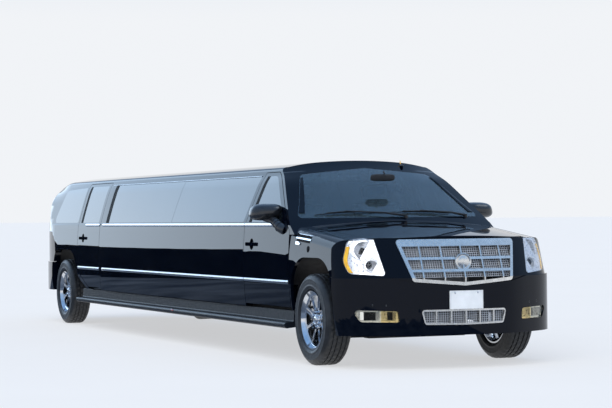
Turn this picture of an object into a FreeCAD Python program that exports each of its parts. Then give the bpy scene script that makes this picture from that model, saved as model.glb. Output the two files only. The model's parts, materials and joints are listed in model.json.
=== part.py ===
# Stretch limousine on a large luxury SUV, built as separate panels, glass, doors, lids,
# frame, axles, steered knuckles, wheels and cabin pieces.
# Millimetres. +X forward, +Y left, +Z up, ground at z = 0, origin under the middle of the length.
import FreeCAD, Part
import math
import os
from FreeCAD import Placement, Rotation, Vector

doc = FreeCAD.newDocument("stretch_limousine")

# Driving dimensions
SIZES = [
    ("wheelbase", 8026),
    ("front_overhang", 1010),
    ("rear_overhang", 1195),
    ("half_width", 1003),
    ("front_half_track", 866),
    ("rear_half_track", 851),
    ("tyre_radius", 393),
    ("tyre_width", 240),
    ("rim_radius", 258),
    ("kingpin_half_track", 790),
    ("wall", 75),
    ("skin", 28),
    ("glass_thickness", 8),
    ("door_gap", 8),
    ("lid_gap", 6),
    ("jamb_step", 20),
    ("jamb_depth", 16),
    ("bumper_proud", 14),
    ("plate_thickness", 8),
    ("lens_thickness", 6),
    ("lamp_depth", 70),
    ("pillar_foot", 589),
    ("pillar_lean", 1.384),
    ("window_frame", 50),
    ("tyre_facets", 60),
    ("spoke_width", 54),
    ("wall_bottom", 457),
    ("door_bottom", 465),
    ("belt_height", 1205),
    ("waist_height", 800),
    ("rail_height", 1735),
    ("crown_height", 1822),
    ("door_top", 1723),
    ("front_door_front", 450),
    ("front_door_rear", 1580),
    ("rear_door_front", 1646),
    ("rear_door_rear", 736),
    ("front_arch_back", 415),
    ("front_arch_ahead", 560),
    ("front_arch_top", 925),
    ("rear_arch_back", 440),
    ("rear_arch_ahead", 590),
    ("rear_arch_top", 905),
    ("liner_margin", 30),
    ("floor_bottom", 600),
    ("floor_thickness", 40),
    ("floor_half_width", 868),
    ("rail_bottom", 460),
    ("rail_inner", 380),
    ("rail_width", 80),
    ("bonnet_rear", 256),
    ("bonnet_half_width", 745),
    ("bonnet_slope", 0.111),
    ("nose_rake", 0.40),
    ("screen_rake", 1.505),
    ("tail_rake", 0.42),
    ("bumper_top", 752),
    ("front_bumper_bottom", 285),
    ("rear_bumper_bottom", 400),
    ("tailgate_half_width", 640),
    ("tailgate_bottom", 756),
    ("tailgate_top", 1770),
    ("running_board_height", 350),
    ("running_board_edge", 1030),
    ("lower_hinge", 690),
    ("upper_hinge", 1010),
    ("seat_height", 330),
    ("seat_gap", 0.3),
]
sheet = doc.addObject("Spreadsheet::Sheet", "Sizes")
for row, (alias, number) in enumerate(SIZES, start=1):
    sheet.set("A%d" % row, alias)
    sheet.set("B%d" % row, str(number))
    sheet.setAlias("B%d" % row, alias)
doc.recompute()
AXLE_X = "(Sizes.wheelbase + Sizes.rear_overhang - Sizes.front_overhang) / 2"


def size(alias):
    """A driving dimension, read from the sheet."""
    return float(sheet.get(alias))


REAR = -size("wheelbase")
WALL = size("wall")
GAP = size("door_gap")
LID_GAP = size("lid_gap")
FAR = 14000
HALF = size("half_width")
BELT = size("belt_height")
nodes = []


# Document objects

def keep(piece):
    """Count a finished document object as one sub-part of the vehicle."""
    nodes.append(piece)
    return piece


def feature(label, shape):
    """A finished panel, drawn from the front axle and placed along the vehicle."""
    piece = doc.addObject("Part::Feature", label)
    piece.Label = label
    piece.Shape = shape
    piece.setExpression("Placement.Base.x", AXLE_X)
    return keep(piece)


def block(name, low, lengths):
    """A box whose low corner and lengths are expressions; x counts from the front axle."""
    piece = doc.addObject("Part::Box", name)
    for key, text in zip(("Length", "Width", "Height"), lengths):
        piece.setExpression(key, text)
    piece.setExpression("Placement.Base.x", AXLE_X + " + (" + low[0] + ")")
    piece.setExpression("Placement.Base.y", low[1])
    piece.setExpression("Placement.Base.z", low[2])
    return piece


def rod(name, low, radius, length, direction):
    """A round bar from a low end, along Y or X."""
    piece = doc.addObject("Part::Cylinder", name)
    turn = {"Y": Rotation(Vector(1, 0, 0), -90), "X": Rotation(Vector(0, 1, 0), 90),
            "Z": Rotation()}[direction]
    piece.Placement = Placement(Vector(), turn)
    piece.setExpression("Radius", radius)
    piece.setExpression("Height", length)
    piece.setExpression("Placement.Base.x", AXLE_X + " + (" + low[0] + ")")
    piece.setExpression("Placement.Base.y", low[1])
    piece.setExpression("Placement.Base.z", low[2])
    return piece


def joined(label, pieces):
    """Several primitives fused into one sub-part."""
    whole = doc.addObject("Part::MultiFuse", label)
    whole.Label = label
    whole.Shapes = pieces
    return keep(whole)


def both_sides(name, piece):
    """The same object mirrored to the other side of the vehicle."""
    twin = doc.addObject("Part::Mirroring", name)
    twin.Source = piece
    twin.Normal = Vector(0, 1, 0)
    return twin


# Outlines and prisms

def rounded(corners, place):
    """A closed wire through corners (a, b, radius), each rounded by its radius."""
    arcs = []
    for index, (a, b, radius) in enumerate(corners):
        point = Vector(a, b, 0)
        before = corners[index - 1]
        after = corners[(index + 1) % len(corners)]
        to_before = (Vector(before[0], before[1], 0) - point).normalize()
        to_after = (Vector(after[0], after[1], 0) - point).normalize()
        half = to_before.getAngle(to_after) / 2
        if radius <= 0 or half > math.radians(89.5):
            arcs.append((point, None, point))
            continue
        middle = (to_before + to_after).normalize()
        reach = radius / math.tan(half)
        centre = point + middle * (radius / math.sin(half))
        arcs.append((point + to_before * reach, centre - middle * radius, point + to_after * reach))
    edges = []
    for index, (start, middle, end) in enumerate(arcs):
        if middle is not None:
            edges.append(Part.Arc(place(start), place(middle), place(end)).toShape())
        following = arcs[(index + 1) % len(arcs)][0]
        if end.distanceToPoint(following) > 0.01:
            edges.append(Part.LineSegment(place(end), place(following)).toShape())
    return Part.Wire(edges)


def side_prism(corners, grow=0, reach=1400):
    """A side-view outline (x, z, radius), carried through both sides of the vehicle."""
    wire = rounded(corners, lambda p: Vector(p.x, -reach, p.y))
    if grow:
        wire = wire.makeOffset2D(grow)
    return Part.Face(wire).extrude(Vector(0, 2 * reach, 0))


def front_prism(corners, start, end, grow=0):
    """A front-view outline (y, z, radius), carried along the vehicle from start to end."""
    wire = rounded(corners, lambda p: Vector(start, p.x, p.y))
    if grow:
        wire = wire.makeOffset2D(grow)
    return Part.Face(wire).extrude(Vector(end - start, 0, 0))


def cuboid(low, high):
    """A plain region between two corners."""
    return Part.makeBox(high[0] - low[0], high[1] - low[1], high[2] - low[2], Vector(*low))


def line(start, end):
    return Part.LineSegment(Vector(*start), Vector(*end)).toShape()


def arc(start, middle, end):
    return Part.Arc(Vector(*start), Vector(*middle), Vector(*end)).toShape()


def mirrored(corners):
    """A half outline (y, z, radius), closed by its mirror image across the middle plane."""
    return corners + [(-y, z, radius) for y, z, radius in reversed(corners) if y != 0]


def pair(corners, start, end, grow=0):
    """The same front-view outline on both sides."""
    right = front_prism(corners, start, end, grow)
    return right.fuse(right.mirror(Vector(), Vector(0, 1, 0)))


def largest(solids):
    """The main solid of a shape, without the shavings that a cut leaves."""
    return max(solids, key=lambda solid: solid.Volume)


def on_side(shape, sign):
    """The main solid of a shape on one side of the vehicle."""
    return largest([solid for solid in shape.Solids if solid.CenterOfMass.y * sign > 0])


# Outer form: cabin section, tail, windscreen, front section and nose

def cabin_section(inset, low):
    """The cabin's cross-section, moved in by a wall, carried along the whole length."""
    lowest = HALF - 30 - inset
    bulge = HALF - inset
    belt = HALF - 18 - inset
    ledge = belt - 10
    rail = 815 - inset
    shoulder = rail - 72
    rail_z = size("rail_height") - inset * 0.35
    shoulder_z = size("crown_height") - 46 - inset * 0.8
    crown_z = size("crown_height") - inset * 0.8
    start = -FAR
    edges = [line((start, -lowest, low), (start, lowest, low))]
    for s in (1, -1):
        edges.append(arc((start, s * lowest, low), (start, s * bulge, size("waist_height")),
                         (start, s * belt, BELT)))
        edges.append(line((start, s * belt, BELT), (start, s * ledge, BELT + 18)))
        edges.append(arc((start, s * ledge, BELT + 18),
                         (start, s * ((ledge + rail) / 2 + 7), (BELT + 18 + rail_z) / 2),
                         (start, s * rail, rail_z)))
        edges.append(arc((start, s * rail, rail_z),
                         (start, s * (rail - 25), (rail_z + shoulder_z) / 2 + 11),
                         (start, s * shoulder, shoulder_z)))
    edges.append(arc((start, shoulder, shoulder_z), (start, 0, crown_z), (start, -shoulder, shoulder_z)))
    wire = Part.Wire(Part.sortEdges(edges)[0])
    return Part.Face(wire).extrude(Vector(FAR + 400, 0, 0))


def smooth(points):
    """One smooth curve through a half outline and its mirror image, in plan."""
    whole = [Vector(x, -y, z) for x, y, z in reversed(points) if y] + [Vector(*p) for p in points]
    curve = Part.BSplineCurve()
    curve.interpolate(whole)
    return curve.toShape(), whole[0], whole[-1]


def tail(inset):
    """The rounded tail in plan, upright below and leaning forward above."""
    end = REAR - size("rear_overhang") + inset
    edge = HALF + 42 - inset
    turn = 1150

    def plan(z):
        points = [(end, 0, z), (end + 22, 450, z), (end + 95, 745 - inset * 0.5, z),
                  (end + 215, 872 - inset * 0.8, z), (end + 430, 945 - inset, z),
                  (end + 800, 994 - inset, z), (end + 1250, edge, z)]
        curve, first, last = smooth(points)
        far_left = Vector(800, last.y, z)
        far_right = Vector(800, first.y, z)
        return Part.Face(Part.Wire(Part.sortEdges([
            curve, line(tuple(last), tuple(far_left)), line(tuple(far_left), tuple(far_right)),
            line(tuple(far_right), tuple(first))])[0]))

    lower = plan(200).extrude(Vector(0, 0, turn - 200))
    upper = plan(turn).extrude(Vector(size("tail_rake") * 800, 0, 800))
    return lower.fuse(upper)


def screen(inset):
    """Everything behind the curved, raked windscreen."""
    low = 300
    rake = size("screen_rake")
    corner = -484 + rake * (1255 - low) - inset
    middle = corner + 150
    edge = 858
    side = 1300
    reach = corner - (middle - corner) * ((side / edge) ** 2 - 1)
    front = arc((reach, -side, low), (middle, 0, low), (reach, side, low))
    back = -FAR
    face = Part.Face(Part.Wire([front, line((reach, side, low), (back, side, low)),
                                line((back, side, low), (back, -side, low)),
                                line((back, -side, low), (reach, -side, low))]))
    return face.extrude(Vector(-rake * 1700, 0, 1700))


def roofline(inset):
    """Everything under the roof's side outline, level and then falling to the tail."""
    top = size("crown_height") + 1 - inset * 0.8
    end = REAR - size("rear_overhang")
    fall_start = end + 700
    fall = 0.13
    drop = (fall_start - end + 200) * fall
    return side_prism([(FAR / 10, 0, 0), (FAR / 10, top, 0), (fall_start, top, 2500), (end - 200, top - drop, 0),
                       (end - 200, 0, 0)])


def cabin(inset, low):
    """The cabin's outer form moved in by a wall, down to a height."""
    return cabin_section(inset, low).common(tail(inset)).common(screen(inset * 1.4)).common(roofline(inset))


def front_section(inset):
    """Wings and bonnet in cross-section, carried forward and down along the bonnet's slope."""
    start = -560
    lift = (-size("bonnet_rear") - start) * size("bonnet_slope")
    low = 200

    def at(y, z):
        return (start, y, z + lift)

    edges = [line(at(-(HALF - 75 - inset), low), at(HALF - 75 - inset, low))]
    for s in (1, -1):
        edges.append(arc(at(s * (HALF - 75 - inset), low), at(s * (HALF - inset), 800),
                         at(s * (HALF - 20 - inset), 1085)))
        edges.append(arc(at(s * (HALF - 20 - inset), 1085), at(s * (HALF - 57 - inset), 1143 - inset * 0.7),
                         at(s * (HALF - 140 - inset), 1170 - inset)))
    edges.append(arc(at(HALF - 140 - inset, 1170 - inset), at(0, 1228 - inset),
                     at(-(HALF - 140 - inset), 1170 - inset)))
    length = 2000
    face = Part.Face(Part.Wire(Part.sortEdges(edges)[0]))
    return face.extrude(Vector(length, 0, -length * size("bonnet_slope")))


def nose(inset):
    """The rounded nose in plan, upright at the bumper and raked above it."""
    reach = size("front_overhang") - 10 - inset
    turn = 760

    def plan(z):
        points = [(reach, 0, z), (reach - 14, 250, z), (reach - 50, 455 - inset * 0.2, z),
                  (reach - 138, 652 - inset * 0.4, z), (reach - 305, 895 - inset * 0.7, z),
                  (reach - 420, 980 - inset, z), (reach - 620, 1030 - inset, z)]
        curve, first, last = smooth(points)
        far_left = Vector(-900, last.y, z)
        far_right = Vector(-900, first.y, z)
        return Part.Face(Part.Wire(Part.sortEdges([
            curve, line(tuple(last), tuple(far_left)), line(tuple(far_left), tuple(far_right)),
            line(tuple(far_right), tuple(first))])[0]))

    lower = plan(200).extrude(Vector(0, 0, turn - 200))
    upper = plan(turn).extrude(Vector(-size("nose_rake") * 600, 0, 600))
    return lower.fuse(upper)


def front_form(inset):
    """The whole front clip's form moved in by a wall."""
    return front_section(inset).common(nose(inset))


CABIN = cabin(0, size("rear_bumper_bottom"))
CABIN_GLASS = cabin(size("glass_thickness"), size("rear_bumper_bottom") - 20)
CABIN_INNER = cabin(WALL, size("rear_bumper_bottom") - 60)
FRONT = front_form(0)
FRONT_INNER = front_form(size("skin"))
FRONT_LENS = front_form(size("lens_thickness"))
FRONT_REFLECTOR = front_form(size("lens_thickness") + size("seat_gap"))
FRONT_LAMP = front_form(size("lamp_depth"))
FRONT_PROUD = front_form(-10)
BUMPER_SKIN = front_form(-size("bumper_proud"))
PLATE_SKIN = front_form(-size("bumper_proud") - size("plate_thickness"))
CABIN_SHELL = CABIN.cut(CABIN_INNER)
CABIN_PANE = CABIN.cut(CABIN_GLASS)
SIDE_INNER = cabin_section(WALL, 100)
SIDE_CLEAR = cabin_section(WALL + GAP, 100)
SIDE_PANE = CABIN.cut(cabin_section(size("glass_thickness"), 100))
SIDE_OUTER = CABIN.cut(cabin_section(size("jamb_depth"), 100))
SIDE_DEEP = CABIN.common(cabin_section(size("jamb_depth"), 100)).cut(SIDE_INNER)
FRONT_SHELL = FRONT.cut(FRONT_INNER)


# Side-view outlines of doors and windows

def pillar_edge(z, back=0):
    """The front door's leaning edge beside the windscreen pillar, moved square back from it."""
    lean = size("pillar_lean")
    return -size("pillar_foot") - back * math.hypot(1, lean) - lean * (z - BELT - 50)


def front_door_outline(shrink=0):
    front = -size("front_door_front") - shrink
    rear = -size("front_door_rear") + shrink
    top = size("door_top") - shrink
    bottom = size("door_bottom") + shrink
    foot = BELT + 50 + (pillar_edge(BELT + 50, shrink) - front) / size("pillar_lean")
    return [(front, bottom, 40), (front, foot, 60), (pillar_edge(top, shrink), top, 80), (rear, top, 12),
            (rear, bottom, 12)]


def front_arch_outline():
    """The front wheel opening from the side: upright behind, rounded over the tyre."""
    top = size("front_arch_top")
    return [(-size("front_arch_back") - 12, 150, 0), (-size("front_arch_back"), top, 320),
            (size("front_arch_ahead"), top, 370), (size("front_arch_ahead"), 150, 0)]


def rear_arch_outline():
    """The rear wheel opening from the side, flaring forward under the rear door."""
    top = size("rear_arch_top")
    ahead = REAR + size("rear_arch_ahead")
    return [(REAR - size("rear_arch_back"), 150, 0), (REAR - size("rear_arch_back") + 10, top, 300),
            (ahead, top, 320), (ahead + 110, 600, 150), (ahead + 500, 440, 0), (ahead + 500, 150, 0)]


def rear_door_outline(shrink=0):
    front = REAR + size("rear_door_front") - shrink
    rear = REAR + size("rear_door_rear") + shrink
    top = size("door_top") - shrink
    bottom = size("door_bottom") + shrink
    return [(front, bottom, 12), (front, top, 12), (rear, top, 40), (rear, 650 + shrink, 80),
            (REAR + 1160 + shrink, bottom, 60)]


WINDOW_LOW = BELT + 27
WINDOW_HIGH = 1677
FRONT_WINDOW = [(pillar_edge(WINDOW_LOW, size("window_frame")), WINDOW_LOW, 25),
                (pillar_edge(WINDOW_HIGH, size("window_frame")), WINDOW_HIGH, 200),
                (-size("front_door_rear") + 75, WINDOW_HIGH, 25), (-size("front_door_rear") + 75, WINDOW_LOW, 15)]
REAR_WINDOW = [(REAR + size("rear_door_front") - 85, WINDOW_LOW, 20),
               (REAR + size("rear_door_front") - 85, WINDOW_HIGH, 25),
               (REAR + size("rear_door_rear") + 85, WINDOW_HIGH, 25),
               (REAR + size("rear_door_rear") + 85, WINDOW_LOW, 20)]
MIDDLE = -size("front_door_rear") - 2220
LONG_WINDOWS = [
    [(-size("front_door_rear") - 75, WINDOW_LOW, 20), (-size("front_door_rear") - 75, WINDOW_HIGH, 25),
     (MIDDLE + 8, WINDOW_HIGH, 8), (MIDDLE + 8, WINDOW_LOW, 8)],
    [(MIDDLE - 8, WINDOW_LOW, 8), (MIDDLE - 8, WINDOW_HIGH, 8),
     (REAR + size("rear_door_front") + 75, WINDOW_HIGH, 25),
     (REAR + size("rear_door_front") + 75, WINDOW_LOW, 20)],
]
QUARTER_WINDOW = [(REAR + size("rear_door_rear") - 60, WINDOW_LOW, 40),
                  (REAR + size("rear_door_rear") - 60, 1670, 40),
                  (REAR - 180, 1640, 90), (REAR - 420, WINDOW_LOW, 60)]
SCREEN_OUTLINE = mirrored([(0, 1262, 0), (892, 1262, 25), (690, 1674, 60), (0, 1745, 0)])
TAILGATE_OUTLINE = mirrored([(size("tailgate_half_width"), size("tailgate_bottom"), 60),
                             (size("tailgate_half_width") - 40, size("tailgate_top"), 60)])
TAILGATE_WINDOW = mirrored([(575, WINDOW_LOW + 10, 50), (530, 1690, 60)])


def handle(x, z, sign):
    """A round finger recess, and the lever that bridges it."""
    skin = HALF - 6
    recess = Part.makeCylinder(52, 60, Vector(x, sign * (skin - 12), z), Vector(0, sign, 0))
    lever = side_prism([(x - 128, z - 17, 15), (x - 128, z + 17, 15), (x + 128, z + 17, 15),
                        (x + 128, z - 17, 15)])
    depth = sorted((sign * (skin - 4), sign * (skin + 18)))
    return recess, lever.common(cuboid((x - 200, depth[0], z - 40), (x + 200, depth[1], z + 40)))


def door(name, outline, window, sign, handle_place):
    """A door as thick as the wall, stepped at its jamb, with its window cut and its handle."""
    outer = SIDE_OUTER.common(side_prism(outline(0)))
    deep = SIDE_DEEP.common(side_prism(outline(size("jamb_step"))))
    opening = side_prism(window)
    leaf = on_side(outer, sign).fuse(on_side(deep, sign)).removeSplitter().cut(opening)
    recess, lever = handle(handle_place[0], handle_place[1], sign)
    feature(name, leaf.cut(recess).fuse(lever).removeSplitter())
    feature(name + "_glass", on_side(SIDE_PANE.common(opening), sign))


# Doors
SIDES = (("right", -1), ("left", 1))
FRONT_HANDLE = (-size("front_door_rear") + 205, BELT - 177)
REAR_HANDLE = (REAR + size("rear_door_rear") + 235, BELT - 155)
for side, sign in SIDES:
    door("front_door_" + side, front_door_outline, FRONT_WINDOW, sign, FRONT_HANDLE)
    door("rear_door_" + side, rear_door_outline, REAR_WINDOW, sign, REAR_HANDLE)

# Fixed cabin panels
door_holes = side_prism(front_door_outline(), GAP).fuse(side_prism(rear_door_outline(), GAP)).cut(SIDE_CLEAR)
front_arch = side_prism(front_arch_outline())
rear_arch = side_prism(rear_arch_outline())
front_well = side_prism(front_arch_outline(), size("liner_margin") + 10)
rear_well = side_prism(rear_arch_outline(), size("liner_margin") + 10)
front_split = -size("front_door_rear") - GAP
rear_split = REAR + size("rear_door_rear") - GAP
tail_x = REAR - size("rear_overhang")
roof_low = size("door_top") - 3
TAIL_INNER = tail(WALL)
gate_swing = 24
tailgate_hole = front_prism(TAILGATE_OUTLINE, tail_x - 200, tail_x + 560, LID_GAP).cut(tail(WALL + gate_swing))
gate_top = size("tailgate_top")
gate_pads = cuboid((tail_x, -450, gate_top + size("seat_gap")), (tail_x + 340, -380, gate_top + LID_GAP))
gate_pads = gate_pads.fuse(gate_pads.mirror(Vector(), Vector(0, 1, 0))).common(CABIN).cut(TAIL_INNER)

door_corner = 60
walls = CABIN_SHELL.common(cuboid((REAR + size("rear_door_front") + GAP, -1400, size("wall_bottom")),
                                  (front_split, 1400, roof_low)))
for window in LONG_WINDOWS:
    walls = walls.cut(side_prism(window))


def hinge_pads(zone_front, zone_rear, outer, inner):
    """Two pairs of hinge seats in a layer of the wall between two depths."""
    pads = []
    for low in size("lower_hinge"), size("upper_hinge"):
        pads.append(cuboid((zone_rear, -1200, low), (zone_front, 1200, low + 90)))
    layer = cabin_section(outer, 100).cut(cabin_section(inner, 100))
    return pads[0].fuse(pads[1]).common(layer)


rear_hinges = hinge_pads(REAR + size("rear_door_front") + GAP,
                         REAR + size("rear_door_front") - size("jamb_step") + size("seat_gap"),
                         size("jamb_depth") + 8, WALL)
walls = walls.fuse(rear_hinges).removeSplitter()
for side, sign in SIDES:
    feature("side_wall_" + side, on_side(walls, sign))
long_panes = []
for window in LONG_WINDOWS:
    long_panes += SIDE_PANE.common(side_prism(window)).Solids
quarter_hole = side_prism(QUARTER_WINDOW)
quarter_zone = cuboid((REAR - 900, -1400, WINDOW_LOW - 50), (REAR + 800, 1400, 1720))
long_panes += SIDE_PANE.common(quarter_hole).common(quarter_zone).Solids
feature("side_glass", Part.makeCompound(long_panes))

quarters = CABIN_SHELL.common(cuboid((tail_x - 100, -1400, size("wall_bottom")),
                                     (REAR + size("rear_door_front") - 100, 1400, roof_low)))
quarters = quarters.cut(door_holes).cut(rear_arch).cut(tailgate_hole).cut(quarter_hole)
bumper_zone = cuboid((tail_x - 100, -1400, 300), (REAR - 100, 1400, size("bumper_top")))
quarters = quarters.cut(bumper_zone)
LAMP_OUTLINE = [(-(size("tailgate_half_width") + 30), 830, 20), (-(size("tailgate_half_width") + 20), 1190, 20),
                (-1100, 1190, 20), (-1100, 830, 20)]
lamp_hole = pair(LAMP_OUTLINE, tail_x - 100, tail_x + 290)
feature("tail_lamps", CABIN.cut(cabin(60, 340)).common(lamp_hole))
quarters = quarters.cut(lamp_hole)
for side, sign in SIDES:
    feature("quarter_panel_" + side, on_side(quarters, sign))

rear_bumper = cabin(-size("bumper_proud"), size("rear_bumper_bottom")).cut(CABIN_INNER)
rear_bumper = rear_bumper.common(cuboid((tail_x - 100, -1400, size("rear_bumper_bottom")),
                                        (REAR - 100, 1400, size("bumper_top") - 4)))
feature("rear_bumper", rear_bumper.cut(rear_arch))

roof = CABIN_SHELL.common(cuboid((tail_x, -1400, roof_low), (-400, 1400, 1900)))
roof = roof.cut(door_holes).cut(tailgate_hole)
roof = roof.fuse(gate_pads).removeSplitter()
screen_hole = front_prism(SCREEN_OUTLINE, -1500, 0)
roof = roof.cut(screen_hole)
feature("roof_panel", largest(roof.Solids))

pillar_zone = cuboid((front_split + door_corner, -1400, 1120), (-size("bonnet_rear") - LID_GAP, 1400, roof_low))
pillars = CABIN_SHELL.common(pillar_zone).cut(door_holes).cut(screen_hole).cut(FRONT)
post_front = -size("front_door_front") - 14
post_rear = post_front - 75
post = SIDE_CLEAR.common(cuboid((post_rear, -1200, size("floor_bottom") + size("floor_thickness")),
                                (post_front, 1200, 1125)))
post = post.cut(cuboid((post_rear, -845, 0), (post_front, 845, 1900)))
front_hinges = hinge_pads(post_front - 5, post_rear + 5, WALL + size("seat_gap"), WALL + GAP)
feature("windscreen_frame", pillars.fuse(post).fuse(front_hinges).removeSplitter())
feature("windscreen", CABIN_PANE.common(screen_hole))

# Tailgate
tail_zone = cuboid((tail_x - 100, -1400, 300), (tail_x + 550, 1400, 1900))
gate = CABIN.common(front_prism(TAILGATE_OUTLINE, tail_x - 200, tail_x + 560)).cut(TAIL_INNER).common(tail_zone)
gate_window = front_prism(TAILGATE_WINDOW, tail_x - 200, tail_x + 560)
feature("tailgate", gate.cut(gate_window))
feature("tailgate_glass", CABIN_PANE.common(gate_window).common(tail_zone))

# Bonnet, wings and cowl
BONNET = [(-size("bonnet_rear"), -size("bonnet_half_width") - 60), (-size("bonnet_rear"), size("bonnet_half_width") + 60),
          (690, size("bonnet_half_width") - 25), (1100, size("bonnet_half_width") - 25),
          (1100, -size("bonnet_half_width") + 25), (690, -size("bonnet_half_width") + 25)]


def bonnet_prism(grow):
    wire = Part.makePolygon([Vector(x, y, 1090 - grow) for x, y in BONNET + BONNET[:1]])
    if grow:
        wire = wire.makeOffset2D(grow, 2)
    return Part.Face(wire).extrude(Vector(0, 0, 400))


feature("bonnet", FRONT_SHELL.common(bonnet_prism(0)))
front_rest = FRONT_SHELL.cut(bonnet_prism(LID_GAP))
HEADLAMP = [(-652, 778, 25), (-701, 1096, 20), (-885, 1078, 60), (-935, 900, 150), (-908, 798, 30)]
headlamp_hole = pair(HEADLAMP, 300, 1100)
UPPER_GRILLE = mirrored([(0, 692, 30), (459, 729, 30), (552, 1078, 30)])
LOWER_GRILLE = mirrored([(0, 368, 0), (364, 374, 25), (396, 497, 25)])
FOG_LAMP = [(-564, 397, 15), (-575, 488, 15), (-905, 500, 25), (-850, 400, 30)]
upper_hole = front_prism(UPPER_GRILLE, 300, 1200)
lower_hole = front_prism(LOWER_GRILLE, 300, 1200)
fog_hole = pair(FOG_LAMP, 300, 1100)
wing_rear = -size("front_door_front") + GAP
cowl_zone = cuboid((-560, -size("bonnet_half_width") - 60 - LID_GAP, 1000),
                   (-size("bonnet_rear") - LID_GAP, size("bonnet_half_width") + 60 + LID_GAP, 1300))
cowl = FRONT_SHELL.common(cowl_zone)
bonnet_seats = cuboid((-size("bonnet_rear") - LID_GAP, -660, 1000),
                      (-size("bonnet_rear") - size("seat_gap"), -580, 1300))
bonnet_seats = bonnet_seats.fuse(bonnet_seats.mirror(Vector(), Vector(0, 1, 0))).common(FRONT_SHELL)
feature("cowl_panel", cowl.fuse(bonnet_seats).removeSplitter())
BUMPER_OUTLINE = mirrored([(0, 688, 0), (455, 722, 40), (640, size("bumper_top") + 10, 60),
                           (1200, size("bumper_top") + 20, 0), (1200, 200, 0)])
bumper_prism = front_prism(BUMPER_OUTLINE, 400, 1200)
nose_high = cuboid((400, -702, 640), (1200, 702, 1090 - LID_GAP))
fascia_zone = bumper_prism.fuse(nose_high)
wings = front_rest.common(cuboid((wing_rear, -1200, size("wall_bottom")), (1200, 1200, 1300)))
wings = wings.cut(front_arch).cut(fascia_zone).cut(headlamp_hole).cut(cowl_zone)
feature("front_wings", Part.makeCompound([on_side(wings, 1), on_side(wings, -1)]))
bumper = BUMPER_SKIN.cut(FRONT_INNER).common(bumper_prism).fuse(front_rest.common(nose_high))
bumper = bumper.common(cuboid((300, -1200, size("front_bumper_bottom")), (1200, 1200, 1300)))
bumper = bumper.cut(front_arch).cut(headlamp_hole).cut(upper_hole).cut(lower_hole).cut(fog_hole)
feature("front_bumper", largest(bumper.removeSplitter().Solids))
lens = FRONT.cut(FRONT_LENS)
feature("headlamps", lens.common(headlamp_hole).cut(front_well).cut(bonnet_prism(LID_GAP)))
feature("fog_lamps", lens.common(fog_hole).cut(front_well))


def bowl(x, y, z, back, front):
    """A reflector's conical bowl, opening forward."""
    return Part.makeCone(back, front, 90, Vector(x, y, z), Vector(1, 0, 0))


housings = FRONT_REFLECTOR.cut(FRONT_LAMP)
housings = housings.common(headlamp_hole.fuse(fog_hole)).cut(front_well).cut(bonnet_prism(LID_GAP))
for sign in (-1, 1):
    housings = housings.cut(bowl(600, sign * 790, 995, 34, 84)).cut(bowl(690, sign * 745, 865, 30, 52))
    for inner, outer in ((582, 690), (704, 850)):
        pocket = cuboid((880 - (outer - 582) * 0.8, min(sign * inner, sign * outer), 412),
                        (1100, max(sign * inner, sign * outer), 484))
        housings = housings.cut(pocket)
main_housings = [solid for solid in housings.Solids if solid.Volume > 20000]
feature("lamp_reflectors", Part.makeCompound(main_housings))


def bars(width, low, high, columns, rows, upright, cross):
    """Evenly spaced upright and cross bars in front view, of two half-widths."""
    slabs = []
    for number in range(1, columns):
        y = -width / 2 + width * number / columns
        slabs.append(cuboid((300, y - upright, low), (1200, y + upright, high)))
    for number in range(1, rows):
        z = low + (high - low) * number / rows
        slabs.append(cuboid((300, -width / 2, z - cross), (1200, width / 2, z + cross)))
    return slabs[0].multiFuse(slabs[1:])


def grille(outline, band, lattice, top_bar):
    """A frame with a deep top bar, and dividers that follow the nose, standing a little proud."""
    layer = FRONT_PROUD.cut(FRONT_INNER)
    whole = front_prism(outline, 300, 1200)
    window = front_prism(outline, 300, 1200, -band)
    solid = whole.cut(window).fuse(lattice.common(window))
    solid = solid.fuse(whole.common(cuboid((300, -1000, top_bar), (1200, 1000, 1200))))
    return layer.common(solid)


upper = grille(UPPER_GRILLE, 28, bars(1104, 718, 1020, 6, 3, 6, 11), 1020)
lower = grille(LOWER_GRILLE, 14, bars(792, 360, 500, 6, 1, 6, 0), 485)
feature("grille_frames", Part.makeCompound(upper.Solids + lower.Solids))
backing = FRONT_INNER.cut(front_form(size("skin") + 8))
upper_mesh = front_prism(UPPER_GRILLE, 300, 1200, -20).common(bars(1104, 718, 1020, 18, 6, 4, 4))
lower_mesh = front_prism(LOWER_GRILLE, 300, 1200, -8).common(bars(792, 360, 500, 12, 3, 4, 4))
upper_mesh = upper_mesh.fuse(upper_hole.cut(front_prism(UPPER_GRILLE, 300, 1200, -20)))
lower_mesh = lower_mesh.fuse(lower_hole.cut(front_prism(LOWER_GRILLE, 300, 1200, -8)))
feature("grille_mesh", Part.makeCompound(backing.common(upper_mesh).Solids + backing.common(lower_mesh).Solids))

# Floor, firewall, sills and inner wheel housings
floor_top = size("floor_bottom") + size("floor_thickness")
floor = cuboid((tail_x + 140, -size("floor_half_width"), size("floor_bottom")),
               (-300, size("floor_half_width"), floor_top))
floor = floor.fuse(cuboid((-340, -size("floor_half_width"), floor_top), (-300, size("floor_half_width"), 1100)))
fixed = CABIN_INNER.common(cuboid((REAR + size("rear_door_front") + GAP, -1200, size("floor_bottom")),
                                  (front_split, 1200, floor_top)))
fixed = fixed.fuse(CABIN_INNER.common(cuboid((tail_x, -1200, size("floor_bottom")),
                                             (REAR + size("rear_door_rear") - GAP, 1200, floor_top))))
floor = floor.fuse(fixed).removeSplitter()
inner_well = 490
well_zone = cuboid((REAR - 900, -inner_well, 0), (900, inner_well, 2000))
floor = floor.cut(front_well.cut(well_zone)).cut(rear_well.cut(well_zone))
feature("floor_pan", floor.common(CABIN_INNER))


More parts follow.
